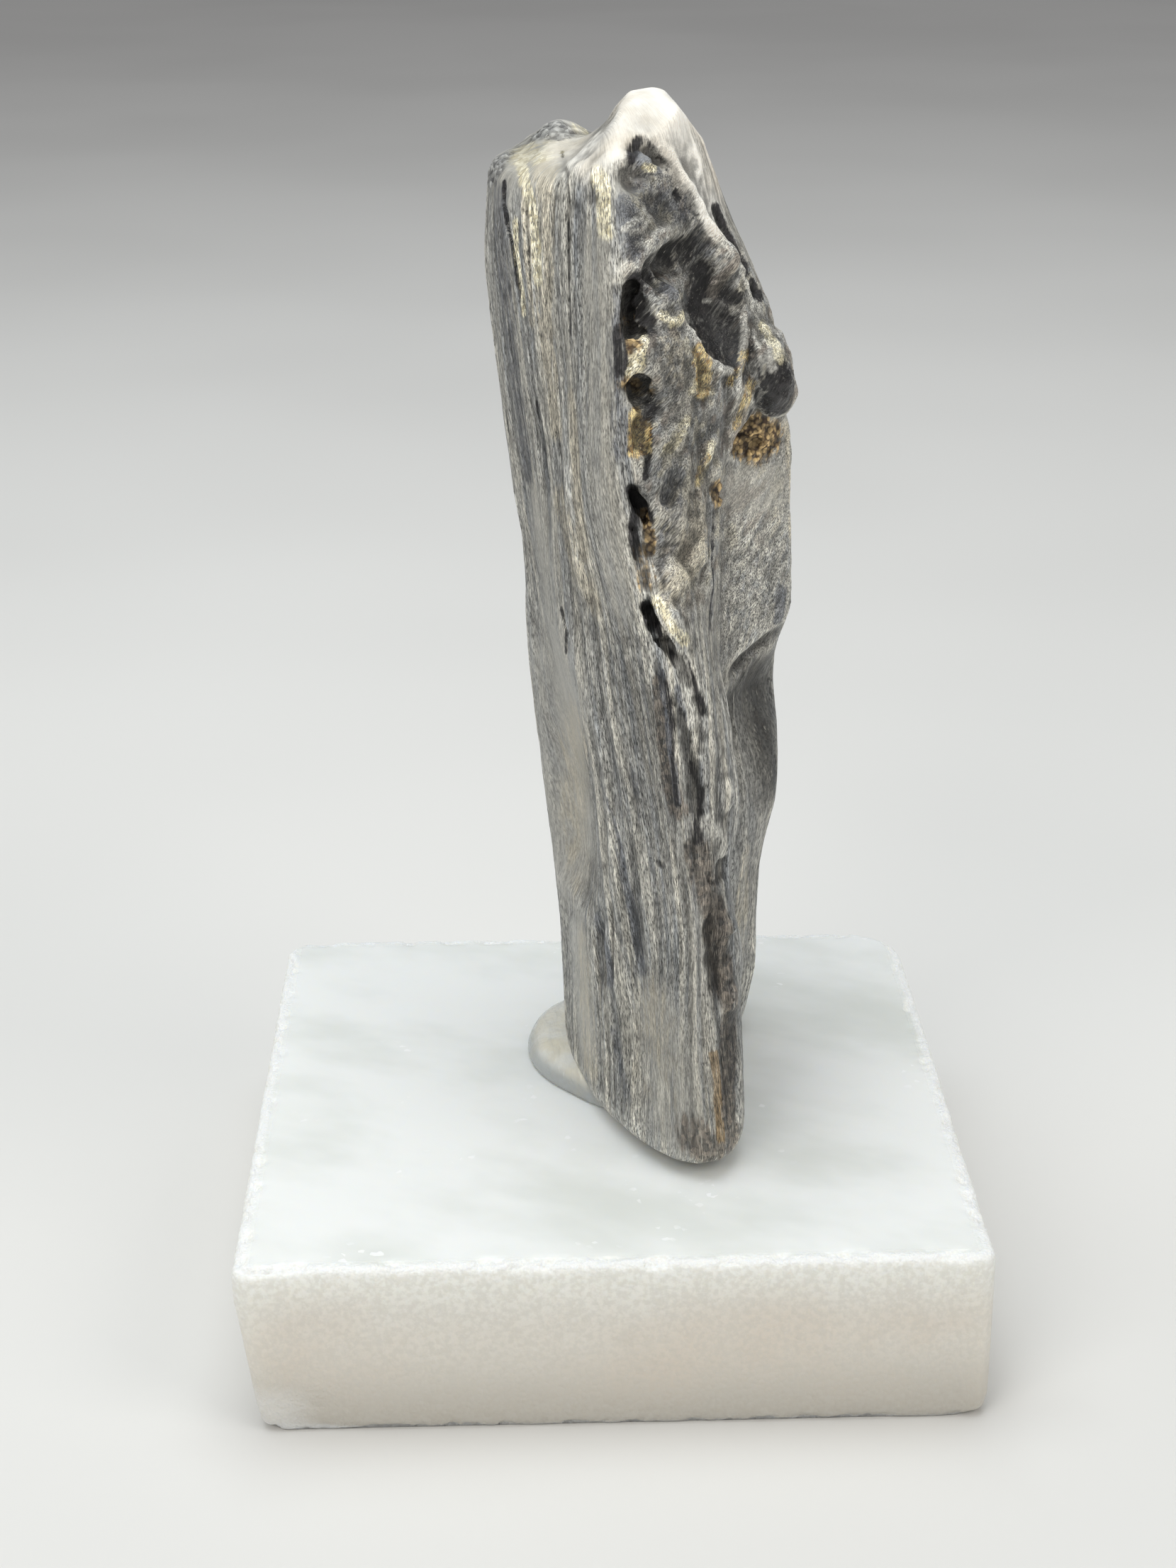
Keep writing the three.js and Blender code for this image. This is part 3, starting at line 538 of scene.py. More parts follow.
# Broad lighter and darker regions: half width, change of brightness and places. The lobe and the dish
# are darkened partly as painted shade, the column in the recess as painted shade, and the facet right
# of the peak is lightened as painted light.
TONED = {
    "pale band": (3.0, 0.3, (-7, 130), (-7, 118), (-6.5, 108), (-4, 96), (-3, 86)),
    "left face": (7.0, 0.26, (-10, 128), (-10, 112)),
    "scoop": (4.5, 0.12, (-4, 58), (-4, 50), (-3, 42), (-3.5, 34)),
    "under the split": (3.0, -0.2, (3, 70), (6, 60), (8, 52)),
    "right band": (3.5, -0.35, (13, 60), (14, 50), (15.5, 38), (17, 26), (17, 12)),
    "lobe": (6.0, -0.78, (22, 59), (25, 50), (26, 42)),
    "lumpy front": (7.0, -0.38, (9, 108), (9, 96)),
    "flank": (8.0, 0.88, (21, 88), (21, 72)),
    "lobe foot": (6.0, 0.1, (22, 30), (20, 12)),
    "left foot": (5.0, 0.18),
    "whole left": (14.0, 0.16, (-5, 125), (-4, 100), (0, 70), (3, 50)),
    "grey band": (2.6, -0.12, (0, 126), (0, 112), (0, 103), (1.5, 92), (3, 82)),
    "under the pit": (3.0, -0.28, (4.5, 131), (8, 130), (10, 130)),
    "dish": (3.0, -0.4, (16, 114), (17, 112)),
    "column in the recess": (2.0, -0.35, (8.5, 122.5), (9, 119)),
    "slope over the arch": (2.5, -0.2, (5, 128), (8, 128), (11, 128)),
    "facet right of the peak": (4.0, 0.25, (11, 140), (13.5, 135)),
}


# ---- Repeatable noise ----


def cell_value(cell, seed):
    """A repeatable value from 0 to 1 for each whole-number cell."""
    mixed = cell[..., 0] * 73856093 ^ cell[..., 1] * 19349663 ^ cell[..., 2] * 83492791 ^ seed * 40503
    mixed = (mixed ^ mixed >> 13) * 1274126177 & 0x7FFFFFFF
    mixed = (mixed ^ mixed >> 11) * 668265263 & 0x7FFFFFFF
    return (mixed >> 7 & 0xFFFF) / 65535


def noise(points, seed):
    """Smooth noise from -1 to 1, with features about one unit wide."""
    base = np.floor(points).astype(np.int64)
    part = points - base
    ease = part * part * (3 - 2 * part)
    total = np.zeros(len(points))
    for corner in range(8):
        step = np.array([corner & 1, corner >> 1 & 1, corner >> 2])
        weight = np.where(step, ease, 1 - ease).prod(axis=1)
        total += weight * cell_value(base + step, seed)
    return 2 * total - 1


def rough_noise(points, seed, layers=4, fall=0.5):
    """Several layers of noise, each half as wide as the one before."""
    total, share, reach = np.zeros(len(points)), 1.0, 0.0
    for layer in range(layers):
        total += share * noise(points * 2**layer, seed + layer)
        reach += share
        share *= fall
    return total / reach


def noise_vectors(points, first_seed):
    """Noise along each of the three axes."""
    return np.stack([noise(points, first_seed + axis) for axis in range(3)], axis=1)


def crumbs(points, seed):
    """Round grains packed together: 1 at the middle of a grain, falling to its edge."""
    base = np.floor(points).astype(np.int64)
    nearest = np.full(len(points), np.inf)
    for step in np.ndindex(3, 3, 3):
        cell = base + np.array(step) - 1
        centre = cell + np.stack([cell_value(cell, seed + axis) for axis in range(3)], axis=1)
        nearest = np.minimum(nearest, np.linalg.norm(points - centre, axis=1))
    return 1 - np.clip(nearest, 0, 1)


def smooth_step(low, high, value):
    t = np.clip((value - low) / (high - low), 0, 1)
    return t * t * (3 - 2 * t)


def between(limits, value):
    """1 between the two inner limits, easing to 0 at the outer ones."""
    return smooth_step(limits[0], limits[1], value) * smooth_step(limits[3], limits[2], value)


# ---- Shared mesh helpers ----


def laid_path(front, places):
    """The (x, height) places of a mark, spaced closely and laid onto the surface from the front."""
    laid = []
    for (x0, height0), (x1, height1) in zip(places, places[1:] or places):
        steps = max(1, math.ceil(math.hypot(x1 - x0, height1 - height0) / MARK_STEP))
        for i in range(steps + 1):
            x, height = x0 + (x1 - x0) * i / steps, height0 + (height1 - height0) * i / steps
            hit = front.ray_cast(Vector((x, FRONT_SIDE, height)), Vector((0, 1, 0)))[0]
            if hit:
                laid.append(hit)
    return np.array(laid)


def distance_to_path(points, path, reach):
    """How far each point is from the path, up to the reach, and where along it the nearest place is."""
    best, along = np.full(len(points), float(reach)), np.zeros(len(points))
    boxed = (points > path.min(axis=0) - reach) & (points < path.max(axis=0) + reach)
    near = np.flatnonzero(boxed.all(axis=1))
    for i in range(len(path) - 1):
        run = path[i + 1] - path[i]
        offset = points[near] - path[i]
        t = np.clip(offset @ run / max(run @ run, 1e-9), 0, 1)
        far = np.linalg.norm(offset - t[:, None] * run, axis=1)
        nearer = far < best[near]
        best[near[nearer]] = far[nearer]
        along[near[nearer]] = ((i + t) / (len(path) - 1))[nearer]
    return best, along


def near_marks(points, front, marks, scale=(1, 1, 1)):
    """For each mark its amount and, at each point, how many half widths off it is and where along it."""
    for name, (half_width, amount, *own) in marks.items():
        path = laid_path(front, own or LINES[name]) * scale
        far, along = distance_to_path(points * scale, path, 3 * half_width)
        yield amount, far / half_width, along


def new_object(name, data):
    made = bpy.data.objects.new(name, data)
    bpy.context.scene.collection.objects.link(made)
    return made


def make_piece(name, mesh, material, node):
    """A shown piece that stands for a CAD node."""
    piece = new_object(name, mesh)
    mesh.materials.clear()
    mesh.materials.append(material)
    mesh.shade_smooth()
    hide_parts(node)
    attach(piece, "root")
    return piece


def baked_mesh(mesh, kind, **settings):
    """The mesh with one modifier applied."""
    holder = new_object(kind, mesh)
    modifier = holder.modifiers.new(kind, kind)
    for key, value in settings.items():
        setattr(modifier, key, value)
    graph = bpy.context.evaluated_depsgraph_get()
    baked = bpy.data.meshes.new_from_object(holder.evaluated_get(graph))
    bpy.data.objects.remove(holder)
    return baked


def closed_mesh(name, rings, foot, top):
    """A mesh through stacked rings of places, closed by a fan to the foot and one to the top."""
    count = len(rings[0])
    places = np.concatenate([*rings, [foot, top]])
    faces = []
    for row in range(len(rings) - 1):
        for i in range(count):
            a, b = row * count + i, row * count + (i + 1) % count
            faces.append((a, b, b + count, a + count))
    foot_corner, top_corner = len(places) - 2, len(places) - 1
    last = (len(rings) - 1) * count
    for i in range(count):
        j = (i + 1) % count
        faces.append((foot_corner, j, i))
        faces.append((top_corner, last + i, last + j))
    mesh = bpy.data.meshes.new(name)
    mesh.from_pydata((places * MM).tolist(), [], faces)
    mesh.update()
    return mesh, places


def read_vectors(items, key):
    numbers = np.empty(len(items) * 3, np.float32)
    items.foreach_get(key, numbers)
    return numbers.reshape(-1, 3).astype(float)


def vertex_places(mesh):
    return read_vectors(mesh.vertices, "co") / MM


def vertex_normals(mesh):
    return read_vectors(mesh.vertex_normals, "vector")


def set_places(mesh, places):
    mesh.vertices.foreach_set("co", (places * MM).astype(np.float32).ravel())
    mesh.update()


def neighbour_mean(mesh):
    """A function that gives each vertex the mean of its neighbours' values."""
    ends = np.empty(len(mesh.edges) * 2, np.int32)
    mesh.edges.foreach_get("vertices", ends)
    a, b = ends.reshape(-1, 2).T
    count = len(mesh.vertices)
    share = 1 / np.maximum(np.bincount(np.concatenate([a, b]), minlength=count), 1)

    def mean(values):
        columns = [
            np.bincount(a, column[b], count) + np.bincount(b, column[a], count) for column in values.T
        ]
        return np.stack(columns, axis=1) * share[:, None]

    return mean


def store(mesh, name, values):
    """Stores a number or a vector for each vertex."""
    kind, key = ("FLOAT_VECTOR", "vector") if values.ndim == 2 else ("FLOAT", "value")
    mesh.attributes.new(name, kind, "POINT").data.foreach_set(key, values.astype(np.float32).ravel())


# ---- Shared node helpers and groups ----


class Value:
    """A node's output, which can be used in sums like a number. Each sum adds a Math node."""

    def __init__(self, tree, socket):
        self.tree = tree
        self.socket = socket

    def beside(self, output):
        """Another output of the same node."""
        return Value(self.tree, self.socket.node.outputs[output])

    def maths(self, operation, a, b=0.0):
        return add(self.tree, "ShaderNodeMath", {0: a, 1: b}, operation=operation)

    def most(self, other):
        """The larger of the two values."""
        return self.maths("MAXIMUM", self, other)

    def clamped(self):
        """The same value, kept from 0 to 1."""
        self.socket.node.use_clamp = True
        return self

    def __add__(self, other):
        return self.maths("ADD", self, other)

    def __sub__(self, other):
        return self.maths("SUBTRACT", self, other)

    def __rsub__(self, other):
        return self.maths("SUBTRACT", other, self)

    def __mul__(self, other):
        return self.maths("MULTIPLY", self, other)

    def __truediv__(self, other):
        return self.maths("DIVIDE", self, other)

    def __rtruediv__(self, other):
        return self.maths("DIVIDE", other, self)

    def __abs__(self):
        return self.maths("ABSOLUTE", self)


def srgb(red, green, blue):
    """A colour given from 0 to 255, as the renderer's light values."""
    parts = [c / 255 for c in (red, green, blue)]
    return tuple(c / 12.92 if c < 0.04045 else ((c + 0.055) / 1.055) ** 2.4 for c in parts) + (1.0,)


def set_inputs(tree, node, inputs):
    """Fills a node's inputs with plain values, or links them where a Value is given."""
    for key, value in inputs.items():
        if isinstance(value, Value):
            tree.links.new(value.socket, node.inputs[key])
        else:
            node.inputs[key].default_value = value


def add(tree, kind, inputs, output=0, **settings):
    """Adds a node with its settings and inputs, and gives one of its outputs."""
    node = tree.nodes.new(kind)
    for key, value in settings.items():
        setattr(node, key, value)
    set_inputs(tree, node, inputs)
    return Value(tree, node.outputs[output])


def ramp(value, low, high, to_low=0.0, to_high=1.0):
    """The value spread smoothly between two limits."""
    inputs = {"Value": value, "From Min": low, "From Max": high, "To Min": to_low, "To Max": to_high}
    return add(value.tree, "ShaderNodeMapRange", inputs, "Result", interpolation_type="SMOOTHSTEP")


def mixed(share, first, second):
    """One colour over another by a share. A colour is a Value or three numbers from 0 to 255."""
    first, second = (colour if isinstance(colour, Value) else srgb(*colour) for colour in (first, second))
    return add(share.tree, "ShaderNodeMix", {0: share, 6: first, 7: second}, 2, data_type="RGBA")


def attribute(tree, name, output="Fac"):
    return add(tree, "ShaderNodeAttribute", {}, output, attribute_name=name)


def moved(spot, operation, inputs):
    return add(spot.tree, "ShaderNodeVectorMath", {0: spot, **inputs}, operation=operation)


def bump(height, strength, distance, under=None):
    """A normal bent by a height, over another normal where one is given."""
    inputs = {"Height": height, "Strength": strength, "Distance": distance * MM}
    if under:
        inputs["Normal"] = under
    return add(height.tree, "ShaderNodeBump", inputs)


def new_group(name, results, **numbers):
    """A shader group that takes a spot and named numbers. A function gives its named outputs."""
    tree = bpy.data.node_groups.new(name, "ShaderNodeTree")
    tree.interface.new_socket("Vector", in_out="INPUT", socket_type="NodeSocketVector")
    for label, number in numbers.items():
        socket = tree.interface.new_socket(label, in_out="INPUT", socket_type="NodeSocketFloat")
        socket.default_value = number
    given = tree.nodes.new("NodeGroupInput").outputs
    outputs = results(*(Value(tree, given[label]) for label in ("Vector", *numbers)))
    for label in outputs:
        tree.interface.new_socket(label, in_out="OUTPUT", socket_type="NodeSocketFloat")
    set_inputs(tree, tree.nodes.new("NodeGroupOutput"), outputs)
    return tree


def place(group, spot, output="Value", **inputs):
    """A group placed in a material at each spot, with its own values."""
    return add(spot.tree, "ShaderNodeGroup", {"Vector": spot, **inputs}, output, node_tree=group)


def soft_noise(spot, scale, detail):
    inputs = {"Vector": spot, "Scale": scale, "Detail": detail, "Roughness": 0.55}
    return add(spot.tree, "ShaderNodeTexNoise", inputs)


def fibre_streaks(spot, width, length, offset, detail):
    """Long thin streaks that run along the third axis."""
    x = add(spot.tree, "ShaderNodeSeparateXYZ", {0: spot})
    axes = {0: x / width, 1: x.beside(1) / width, 2: x.beside(2) / length + offset}
    drawn = add(spot.tree, "ShaderNodeCombineXYZ", axes)
    return {"Value": soft_noise(drawn, 1.0, detail)}


def mottle(spot, size, detail, low, high):
    """Cloudy patches."""
    return {"Value": ramp(soft_noise(spot, 1.0 / size, detail), low, high)}


def broken_grains(spot, size):
    """Small broken grains: a height, and a share of bright facets."""
    inputs = {"Vector": spot, "Scale": 1.0 / size, "Randomness": 1.0}
    far = add(spot.tree, "ShaderNodeTexVoronoi", inputs, "Distance", feature="F1")
    facet = add(spot.tree, "ShaderNodeSeparateColor", {0: far.beside("Color")})
    return {"Height": 1.0 - far, "Facet": facet}


def millimetres(tree):
    """The place on the piece, in millimetres."""
    return moved(add(tree, "ShaderNodeTexCoord", {}, "Object"), "SCALE", {"Scale": 1 / MM})


def new_material(name):
    material = bpy.data.materials.new(name)
    material.use_nodes = True
    tree = material.node_tree
    return material, tree, tree.nodes["Principled BSDF"]


FIBRES = new_group("fibre streaks", fibre_streaks, Width=1.0, Length=20.0, Offset=0.0, Detail=2.0)
MOTTLE = new_group("mottle", mottle, Size=10.0, Detail=3.0, Low=0.35, High=0.65)
CRUMB = new_group("crumb", broken_grains, Size=0.6)


# ---- Petrified wood ----


def line_at(name, height):
    """A grain line's x and y at each height, with its bends evened out."""
    levels, *columns = np.array(GRAIN_LINES[name][1:], float).T
    evened = []
    for column in columns:
        values = [np.interp(height + shift, levels, column) for shift in (-LINE_EASE, 0, LINE_EASE)]
        evened.append(np.mean(values, axis=0))
    return np.stack(evened, axis=1)


def trunk_coordinates(points):
    """The wood straightened into a trunk, so that streaks laid along it follow the grain lines."""
    height = points[:, 2]
    lines = np.stack([line_at(name, height) for name in GRAIN_LINES])
    centre = lines.mean(axis=0)
    angle = np.arctan2(points[:, 1] - centre[:, 1], points[:, 0] - centre[:, 0])
    knots = np.arctan2(lines[..., 1] - centre[:, 1], lines[..., 0] - centre[:, 0])
    turned = (angle - knots[0]) % (2 * math.pi)
    knots = (knots - knots[0]) % (2 * math.pi)
    shares = [line[0] for line in GRAIN_LINES.values()] + [1.0]
    knots = np.concatenate([knots, np.full((1, len(points)), 2 * math.pi)])
    round_trunk = np.zeros(len(points))
    for i in range(len(GRAIN_LINES)):
        low, high = knots[i], knots[i + 1]
        inside = (turned >= low) & (turned <= high)
        part = (turned - low) / np.maximum(high - low, 1e-6)
        round_trunk = np.where(inside, shares[i] + part * (shares[i + 1] - shares[i]), round_trunk)
    sway = GRAIN_SWAY * noise(points / SWAY_SIZE, 5)
    turn = 2 * math.pi * (round_trunk + sway)
    return np.stack([GRAIN_RADIUS * np.cos(turn), GRAIN_RADIUS * np.sin(turn), height], axis=1)


def slanting_coordinates(points):
    """Places turned so that streaks laid along the third axis climb to the right across the front."""
    bent = points + SLANT_STRAY * noise_vectors(points / SLANT_STRAY_SIZE, 81)
    side, up = math.sin(SLANT), math.cos(SLANT)
    across = bent[:, 0] * up - bent[:, 2] * side
    along = bent[:, 0] * side + bent[:, 2] * up
    return np.stack([across, bent[:, 1], along], axis=1)


def flank_share(points):
    """1 on the right flank, where the grain runs slanting."""
    x, y, height = points.T
    return smooth_step(*FLANK_X, x) * smooth_step(*FLANK_Y, y) * between(FLANK_HEIGHTS, height)


def knotty_share(points):
    """1 on the lumpy front between the left ridge and the right ridge, above the split."""
    x, y, height = points.T
    right_of_rib = smooth_step(*KNOTTY_FROM_RIB, x - line_at("front rib", height)[:, 0])
    front = smooth_step(*KNOTTY_DEPTH, y - 0.8 * (x - 12))
    return right_of_rib * front * between(KNOTTY_HEIGHTS, height)


def top_share(points, normals):
    """1 where the surface turns up at the top."""
    return smooth_step(*TOP_TURN, normals[:, 2]) * smooth_step(*TOP_HEIGHTS, points[:, 2])


def left_crown_share(points):
    """1 on the lumpy crown left of the valley."""
    return smooth_step(*LEFT_CROWN_HEIGHTS, points[:, 2]) * smooth_step(*LEFT_CROWN_X, points[:, 0])


def hollow_share(points):
    """1 in the small hollows of the front."""
    share = np.zeros(len(points))
    for centre, reach in HOLLOWS.values():
        far = np.linalg.norm(points - centre, axis=1)
        share = np.maximum(share, smooth_step(reach, reach * HOLLOW_CORE, far))
    return share


def grooves(trunk, width, length, seed):
    """Ridged noise that runs along the grain: narrow furrows between flat ribs."""
    return -np.abs(noise(trunk / [width, width, length], seed)) ** GROOVE_POWER


def marks_rise(points, front, marks, steepness):
    """How far the carved and raised marks move the surface at each point."""
    rise = np.zeros(len(points))
    strayed = points + MARK_STRAY * noise_vectors(points / STRAY_SIZE, 61)
    wobble = 1 + MARK_WOBBLE * noise(points / WOBBLE_SIZE, 64)
    for height, far, along in near_marks(strayed, front, marks):
        taper = np.clip(MARK_TAPER * np.minimum(along, 1 - along) + MARK_ENDS, 0, 1)
        rise += height * taper * wobble * np.exp(-(far**steepness))
    return rise


def stain_and_light_share(points, front, stain):
    """How strongly a stain's marks, painted shade and light among them, cover each point."""
    share = np.zeros(len(points))
    scale = np.array([1, DEPTH_SCALE if stain in DEEP_STAINS_AND_PAINTED_LIGHT else 1, 1])
    for strength, far, _ in near_marks(points, front, STAINED_AND_PAINTED_LIGHT[stain], scale):
        share = np.maximum(share, strength * smooth_step(*STAIN_EDGE, far))
    return share


def wood_relief(points, normals, front):
    """How far the worn surface of the wood rises or falls at each point, in millimetres."""
    lively = 1 - 0.7 * stain_and_light_share(points, front, "calm")
    knotty, flank = knotty_share(points), flank_share(points)
    sole = 0.35 + 0.65 * smooth_step(*SOLE_HEIGHTS, points[:, 2])
    plain = (1 - knotty) * (1 - flank) * (1 - top_share(points, normals)) * sole * lively
    shares = {"plain": plain, "knotty": knotty * lively, "flank": flank, "whole": 1}
    shares["hollow"] = hollow_share(points)
    shares["left crown"] = left_crown_share(points)
    trunk = trunk_coordinates(points)
    spots = {"still": points, "along": trunk, "slanted": slanting_coordinates(points)}

    rise = plain * GROOVE_LIFT
    for depth, width, length, seed in GROOVES:
        rise += plain * depth * grooves(trunk, width, length, seed)
    for part, way, depth, size, seed, layers in ROUGHNESS.values():
        rise += shares[part] * depth * rough_noise(spots[way] / size, seed, layers)
    crumbly = np.maximum(stain_and_light_share(points, front, "clay"), 0.5 * stain_and_light_share(points, front, "crystal"))
    loose = np.flatnonzero(crumbly > 0.02)
    rise[loose] += crumbly[loose] * CRUMB_DEPTH * (crumbs(points[loose] / CRUMB_SIZE, seed=71) - 0.6)
    rise += marks_rise(points, front, CARVED, steepness=2)
    near_top = smooth_step(PEAK_HEIGHT - 2.5, PEAK_HEIGHT - 0.5, points[:, 2])
    return np.where(rise > 0, rise * (1 - near_top), rise)


def eased(mesh, rounds):
    """Smooths the facets away without shrinking the piece, and less so in the hollows."""
    mean = neighbour_mean(mesh)
    places = vertex_places(mesh)
    ease = (1 - HOLLOW_HOLD * hollow_share(places - ABOVE_BLOCK))[:, None]
    for _ in range(rounds):
        places += EASE_IN * ease * (mean(places) - places)
        places -= EASE_OUT * ease * (mean(places) - places)
    set_places(mesh, places)


def rounded_edges(mesh):
    """Rounds over the front edge of the left crown, the rib left of the holes and the back hollow."""
    mean = neighbour_mean(mesh)
    places = vertex_places(mesh)
    x, y, height = (places - ABOVE_BLOCK).T
    crown = smooth_step(*CROWN_EDGE_HEIGHTS, height) * smooth_step(*CROWN_EDGE_X, x)
    rib_x, rib_y = line_at("front rib", height).T
    rib = smooth_step(*RIB_REACH, np.hypot(x - rib_x, y - rib_y)) * between(RIB_HEIGHTS, height)
    back = smooth_step(*BACK_Y, y) * between(BACK_HEIGHTS, height)
    for share, rounds in ((crown, CROWN_ROUNDS), (rib, RIB_ROUNDS), (back, BACK_ROUNDS)):
        for _ in range(rounds):
            places += ROUNDING * share[:, None] * (mean(places) - places)
    set_places(mesh, places)


def raised(mesh, relief):
    """Moves each point along its normal by the relief that is worked out for it."""
    places, normals = vertex_places(mesh), vertex_normals(mesh)
    set_places(mesh, places + relief(places - ABOVE_BLOCK, normals)[:, None] * normals)


def wood_mesh():
    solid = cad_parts["petrified_wood"].data
    corners = [Vector(corner.co) / MM - Vector(ABOVE_BLOCK) for corner in solid.vertices]
    front = BVHTree.FromPolygons(corners, [face.vertices for face in solid.polygons])
    mesh = baked_mesh(solid.copy(), "REMESH", mode="VOXEL", voxel_size=WOOD_VOXEL * MM)
    eased(mesh, SOLID_ROUNDS)
    rounded_edges(mesh)
    raised(mesh, lambda points, normals: marks_rise(points, front, SCULPTED, steepness=3))
    mesh = baked_mesh(mesh, "REMESH", mode="VOXEL", voxel_size=WOOD_VOXEL * MM)
    eased(mesh, SCULPTED_ROUNDS)
    raised(mesh, lambda points, normals: wood_relief(points, normals, front))
    triangles = sum(len(face.vertices) - 2 for face in mesh.polygons)
    if triangles > WOOD_TRIANGLES:
        mesh = baked_mesh(mesh, "DECIMATE", ratio=WOOD_TRIANGLES / triangles)
    paint_wood(mesh, front)
    return mesh


def paint_wood(mesh, front):
    """Stores where the grain runs and where each stain, wear, painted shade and light, and roughness lies.
    """
    places = vertex_places(mesh)
    normals = vertex_normals(mesh)
    above = places - ABOVE_BLOCK
    store(mesh, "grain", trunk_coordinates(above))
    store(mesh, "slanted", slanting_coordinates(above))
    store(mesh, "knotty", knotty_share(above))
    store(mesh, "crown", top_share(above, normals))
    store(mesh, "flank", flank_share(above))
    # Stains, with the painted shade and light of the dark, pale and worn marks.
    for stain in STAINED_AND_PAINTED_LIGHT:
        store(mesh, stain, stain_and_light_share(above, front, stain))
    # The tones, some of which are painted light and shade.
    marks = near_marks(above, front, TONED)
    store(mesh, "tone", sum(change * np.exp(-(far**2)) for change, far, _ in marks))

    mean = neighbour_mean(mesh)
    shown = 1 - BACK_DAMPING * smooth_step(*BACK_SHOWN_Y, places[:, 1])
    smoothed = places
    # Painted shade in the hollows and painted highlight on the crests, damped on the back.
    for name, (rounds, depth, _, _) in CRESTS.items():
        for _ in range(rounds):
            smoothed = mean(smoothed)
        store(mesh, name, shown * np.clip(((places - smoothed) * normals).sum(axis=1) / depth, -1, 1))


class WoodLook:
    """The wood's streaks, grains, stains and painted light, and the colour, gloss and relief from them."""

    def __init__(self, tree):
        self.tree = tree
        self.knotty, self.flank, self.calm, self.crown = (
            attribute(tree, name) for name in ("knotty", "flank", "calm", "crown")
        )
        self.slanting = self.knotty.most(self.flank)
        self.medium = self.streaks(Width=0.4, Length=10.0, Offset=7.0)
        self.fine = self.streaks(Width=0.2, Length=1.7, Offset=3.0)
        self.dashes = self.streaks(Width=0.16, Length=0.7, Offset=11.0)
        self.patches = self.streaks(Width=1.2, Length=4.0, Offset=5.0, Detail=4.0)
        spot = millimetres(tree)
        self.clouds = place(MOTTLE, spot, Size=9.0, Detail=4.0)
        self.grit = place(MOTTLE, spot, Size=0.5, Low=0.4, High=0.62)
        self.crumb = place(CRUMB, spot, "Height", Size=0.7)
        self.facet = self.crumb.beside("Facet")
        self.shares = self.stain_shares()
        self.loose = self.shares["clay"].most(self.shares["crystal"])
        still = (self.calm * 0.68).most(self.shares["worn"] * 0.8)
        still = still.most(self.knotty * 0.2).most(self.crown * 0.9)
        self.lively = 1.0 - still.most(self.loose)

    def streaks(self, **values):
        """Streaks that run along the grain, or slanting where the slanting share says so."""
        ways = (attribute(self.tree, name, "Vector") for name in ("grain", "slanted"))
        straight, slanted = (place(FIBRES, way, **values) for way in ways)
        return add(self.tree, "ShaderNodeMix", {0: self.slanting, 2: straight, 3: slanted})

    def ragged(self, stain):
        """A stain's share with its edge broken up along the grain."""
        share = attribute(self.tree, stain)
        broken = (self.patches - 0.5) * 1.6 + (self.medium - 0.5) * 1.2
        return ramp(share + broken, 0.15, 0.75) * (share * 3.0).clamped()

    def stain_shares(self):
        """How strongly each stain, and each mark of painted shade and light, shows at each place."""
        shares = {stain: self.ragged(stain) for stain in WOOD_STAINS_AND_PAINTED_LIGHT if stain != "worn"}
        for stain in ("cream", "yellow"):
            shares[stain] = shares[stain] * ramp(self.dashes, 0.36, 0.56, 0.35, 1.0)
        shares["worn"] = attribute(self.tree, "worn") * (1.0 - shares["dark"].most(shares["slate"]))
        return shares

    def stone(self):
        """The grey of the clean wood, with its bands, clouds, smears and checks."""
        even = self.crown.most(self.flank).most(self.calm)
        broad = (self.streaks(Width=3.0, Length=70.0) - 0.5) * (1.0 - even * 0.8)
        colour = mixed(ramp(broad, -0.14, 0.14), STONE_DARK, STONE_LIGHT)
        bluish = self.streaks(Width=1.3, Length=16.0, Offset=33.0, Detail=3.0)
        smears = self.streaks(Width=2.6, Length=6.0, Offset=21.0, Detail=3.0)
        checks = self.streaks(Width=0.5, Length=9.0, Offset=47.0, Detail=1.0)
        for share, tone in (
            (self.clouds * 0.3, STONE_CLOUD),
            (ramp(bluish, 0.5, 0.64) * self.lively * 0.5, STONE_BLUISH),
            (ramp(smears, 0.52, 0.62) * self.knotty * 0.6, SMEAR_BROWN),
            (ramp(smears, 0.44, 0.36) * self.knotty * 0.5, SMEAR_PALE),
            (ramp(checks, 0.3, 0.22) * self.lively * 0.8, CHECK_DARK),
        ):
            colour = mixed(share, colour, tone)
        return colour

    def stained(self, colour):
        """The colour under each stain and each mark of painted shade and light in turn."""
        clay_grains = ramp(self.facet, 0.0, 0.8, 0.3, 1.0) * ramp(self.crumb, 0.25, 0.6)
        grains = {"worn": self.clouds, "clay": clay_grains}
        for stain, (strength, first, *second) in WOOD_STAINS_AND_PAINTED_LIGHT.items():
            tone = mixed(grains.get(stain, self.facet), first, second[0]) if second else first
            colour = mixed(self.shares[stain] * strength, colour, tone)
        return colour

    def shade(self):
        """What the colour's brightness is multiplied by, with painted shade and painted highlight in it.
        """
        shade = ramp(self.medium, 0.34, 0.66, 0.93, 1.07)
        shade = shade * ramp(self.fine, 0.34, 0.66, 0.5, 1.5) * ramp(self.dashes, 0.32, 0.56, 0.2, 1.4)
        shade = (shade - 1.0) * self.lively + 1.0
        # Painted shade in the hollows and painted highlight on the crests.
        for name, (_, _, least, most) in CRESTS.items():
            change = ramp(attribute(self.tree, name), -1.0, 1.0, least - 1, most - 1)
            shade = shade * (change * (1.0 - self.calm * 0.75) + 1.0)
        # The tones, some of which are painted light and shade.
        return shade * (attribute(self.tree, "tone") + 1.0)

